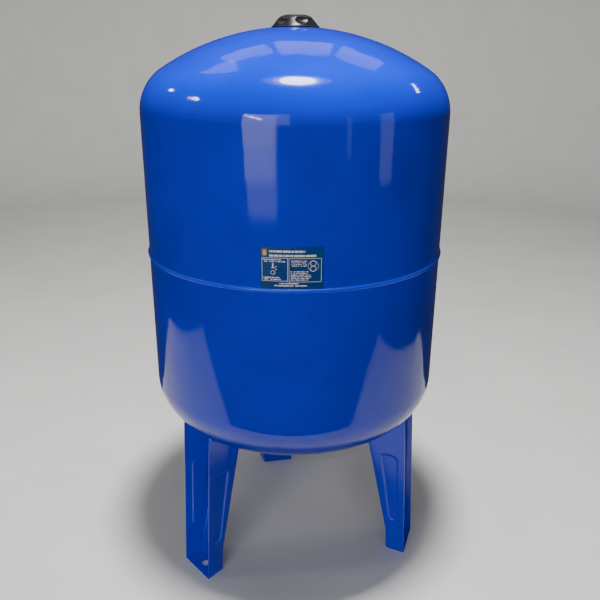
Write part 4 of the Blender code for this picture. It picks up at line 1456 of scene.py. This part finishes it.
# The stage ----------------------------------------------------------------------------------------
class VESSEL_OT_stage(bpy.types.Operator):
    """Make the pale floor with its round backdrop, the soft lights and the camera"""

    bl_idname = "vessel.stage"
    bl_label = "Stage"

    def execute(self, context):
        setup = context.scene.vessel_stage
        self.floor(context, setup)
        self.world(context, setup)
        self.lamps()
        self.camera(context, setup)
        return {"FINISHED"}

    def floor(self, context, setup):
        """A table-sized floor, in a round backdrop that the gloss does not mirror."""
        finish = floor_material(context.scene.vessel_colors)
        low = -0.0002
        corners = ((-1.17, -0.47), (1.05, -0.60), (1.05, 0.4), (-1.17, 0.4))
        near = bmesh.new()
        near.faces.new([near.verts.new((x, y, low)) for x, y in corners])
        floor = self.stand("studio_floor", near, finish)
        floor.visible_diffuse = False
        low -= 0.0004
        bend = 1.2
        rim = 3.0
        base = -0.1
        outside = setup.bowl + 0.05
        profile = [(setup.bowl * i / 6, low) for i in range(6)]
        profile += arc(setup.bowl - bend, bend + low, bend, -90.0, 0.0, 16)
        profile += [(setup.bowl, rim), (outside, rim), (outside, base), (0.0, base)]
        bowl = self.stand("backdrop", turned(profile, 96, solid=True), finish)
        bowl.visible_glossy = False
        bowl.visible_diffuse = False

    def stand(self, name, bm, finish):
        mesh = bpy.data.meshes.new(name)
        bm.to_mesh(mesh)
        bm.free()
        mesh.shade_smooth()
        mesh.set_sharp_from_angle(angle=math.radians(40.0))
        mesh.materials.append(finish)
        obj = bpy.data.objects.new(name, mesh)
        bpy.context.scene.collection.objects.link(obj)
        return obj

    def world(self, context, setup):
        world = bpy.data.worlds.new("studio_world")
        context.scene.world = world
        world.use_nodes = True
        background = world.node_tree.nodes["Background"]
        background.inputs["Color"].default_value = (0.93, 0.96, 1.0, 1.0)
        background.inputs["Strength"].default_value = setup.fill

    def lamps(self):
        """The lamp overhead with its halo, lights that the gloss leaves out, and what it mirrors."""
        disc = {"shape": "ELLIPSE"}
        seen = {"shape": "ELLIPSE", "lit": False}
        unseen = {"mirrored": False}
        self.lamp("ceiling", (-0.25, -0.20, 2.6), (0.31, -0.20, 2.6), 0.64, 32.0, **seen)
        self.lamp("ceiling_halo", (-0.36, -0.20, 2.61), (0.42, -0.20, 2.61), 0.82, 3.0, **seen)
        self.lamp("ceiling_glow", (-0.47, -0.20, 2.62), (0.53, -0.20, 2.62), 1.0, 1.2, **seen)
        self.lamp("ceiling_key", (-0.10, -0.17, 2.6), (0.16, -0.17, 2.6), 0.26, 390.0, **unseen, **disc)
        self.lamp("front_fill", (-1.3, -2.6, 1.05), (1.1, -2.6, 1.05), 1.3, 1.75, **unseen)
        self.lamp("side_panel", (2.5, -1.2, 0.2), (2.5, -1.2, 1.4), 0.5, 0.9)
        self.lamp("side_strip", (1.75, -2.45, 0.3), (1.75, -2.45, 1.4), 0.25, 0.6)
        self.lamp("front_panel", (-1.05, -2.4, 0.42), (-1.05, -2.4, 1.52), 1.02, 3.0)
        self.lamp("front_panel_low", (-1.02, -2.4, 0.24), (-1.02, -2.4, 0.42), 0.96, 2.4)
        self.lamp("front_panel_foot", (-0.96, -2.4, 0.06), (-0.96, -2.4, 0.24), 0.88, 1.2)
        self.lamp("front_panel_top", (-0.37, -2.4, 0.68), (-0.37, -2.4, 1.5), 0.34, 1.3)
        self.lamp("front_tube", (-1.54, -2.35, 1.49), (-0.90, -2.35, 1.07), 0.06, 26.0)
        self.lamp("right_tube", (2.0, 1.21, 2.43), (2.0, 0.68, 1.80), 0.06, 30.0)
        self.lamp("left_spot", (-2.0, -0.47, 1.84), (-2.0, -0.19, 1.84), 0.19, 24.0, **disc)
        self.lamp("left_spot_far", (-2.0, 0.71, 1.83), (-2.0, 0.91, 1.83), 0.12, 24.0, **disc)
        self.lamp("window_middle", (-0.33, 2.6, 3.6), (0.64, 2.6, 3.6), 1.02, 1.0)
        self.lamp("window_right", (0.76, 2.6, 3.6), (1.62, 2.6, 3.6), 0.95, 0.9)
        self.lamp("window_left", (-1.26, 2.6, 3.6), (-0.44, 2.6, 3.6), 0.75, 0.9)
        self.lamp("wall_wash", (-2.0, 2.7, 3.2), (2.0, 2.7, 3.2), 1.0, 4.0, outward=True, **unseen)
        self.lamp("window_far", (-2.45, 2.6, 4.5), (-1.35, 2.6, 4.5), 0.9, 1.0)

    def lamp(
        self, name, start, end, breadth, radiance, mirrored=True, lit=True, shape="RECTANGLE", outward=False
    ):
        """A flat light along a line from start to end. It faces the tank, or the wall if outward. It
        is seen in the gloss if mirrored, and lights what is matt if lit."""
        run = Vector(end) - Vector(start)
        along = run.normalized()
        centre = (Vector(end) + Vector(start)) / 2
        back = Vector((0.0, -1.0, 0.6)) if outward else centre - Vector((0.0, 0.0, 0.6))
        back = (back - along * back.dot(along)).normalized()
        across = back.cross(along)
        light = bpy.data.lights.new(name, "AREA")
        light.shape = shape
        light.size = run.length
        light.size_y = breadth
        light.energy = radiance * math.pi * run.length * breadth
        light.color = (1.0, 0.99, 0.97)
        obj = bpy.data.objects.new(name, light)
        turn = Matrix((along, across, back)).transposed()
        obj.matrix_world = Matrix.Translation(centre) @ turn.to_4x4()
        obj.visible_glossy = mirrored
        obj.visible_diffuse = lit
        bpy.context.scene.collection.objects.link(obj)

    def camera(self, context, setup):
        data = bpy.data.cameras.new("studio_camera")
        data.lens = setup.lens
        data.sensor_width = setup.sensor
        data.clip_start = 0.02
        obj = bpy.data.objects.new("studio_camera", data)
        obj.location = (0.0, -setup.distance, setup.height)
        obj.rotation_euler = setup.tilt
        context.scene.collection.objects.link(obj)
        context.scene.camera = obj


class VESSEL_PT_sidebar(bpy.types.Panel):
    """Sizes, colours and the operators, in the order they are used"""

    bl_idname = "VESSEL_PT_sidebar"
    bl_label = "Expansion vessel"
    bl_space_type = "VIEW_3D"
    bl_region_type = "UI"
    bl_category = "Vessel"

    def draw(self, context):
        scene = context.scene
        for title, group in (
            ("Tank", scene.vessel_shape),
            ("Legs", scene.vessel_leg),
            ("Colours", scene.vessel_colors),
            ("Stage", scene.vessel_stage),
        ):
            box = self.layout.box()
            box.label(text=title)
            for name in group.__annotations__:
                box.prop(group, name)
        for operator in OPERATORS:
            self.layout.operator(operator.bl_idname)


OPERATORS = (
    VESSEL_OT_stage,
    VESSEL_OT_shells,
    VESSEL_OT_girth_weld,
    VESSEL_OT_data_label,
    VESSEL_OT_legs,
    VESSEL_OT_flange,
    VESSEL_OT_fasteners,
    VESSEL_OT_air_valve,
    VESSEL_OT_cover_cap,
    VESSEL_OT_membrane,
)
GROUPS = {
    "vessel_shape": VesselShape,
    "vessel_leg": LegShape,
    "vessel_colors": FinishColors,
    "vessel_stage": StageSetup,
}


def register():
    for cls in (*GROUPS.values(), *OPERATORS, VESSEL_PT_sidebar):
        bpy.utils.register_class(cls)
    for name, group in GROUPS.items():
        setattr(bpy.types.Scene, name, PointerProperty(type=group))


def unregister():
    for name in GROUPS:
        delattr(bpy.types.Scene, name)
    for cls in (VESSEL_PT_sidebar, *reversed(OPERATORS), *reversed(GROUPS.values())):
        bpy.utils.unregister_class(cls)


def main():
    register()
    for operator in OPERATORS:
        name = operator.bl_idname.split(".")[1]
        getattr(bpy.ops.vessel, name)()


if __name__ == "__main__":
    main()
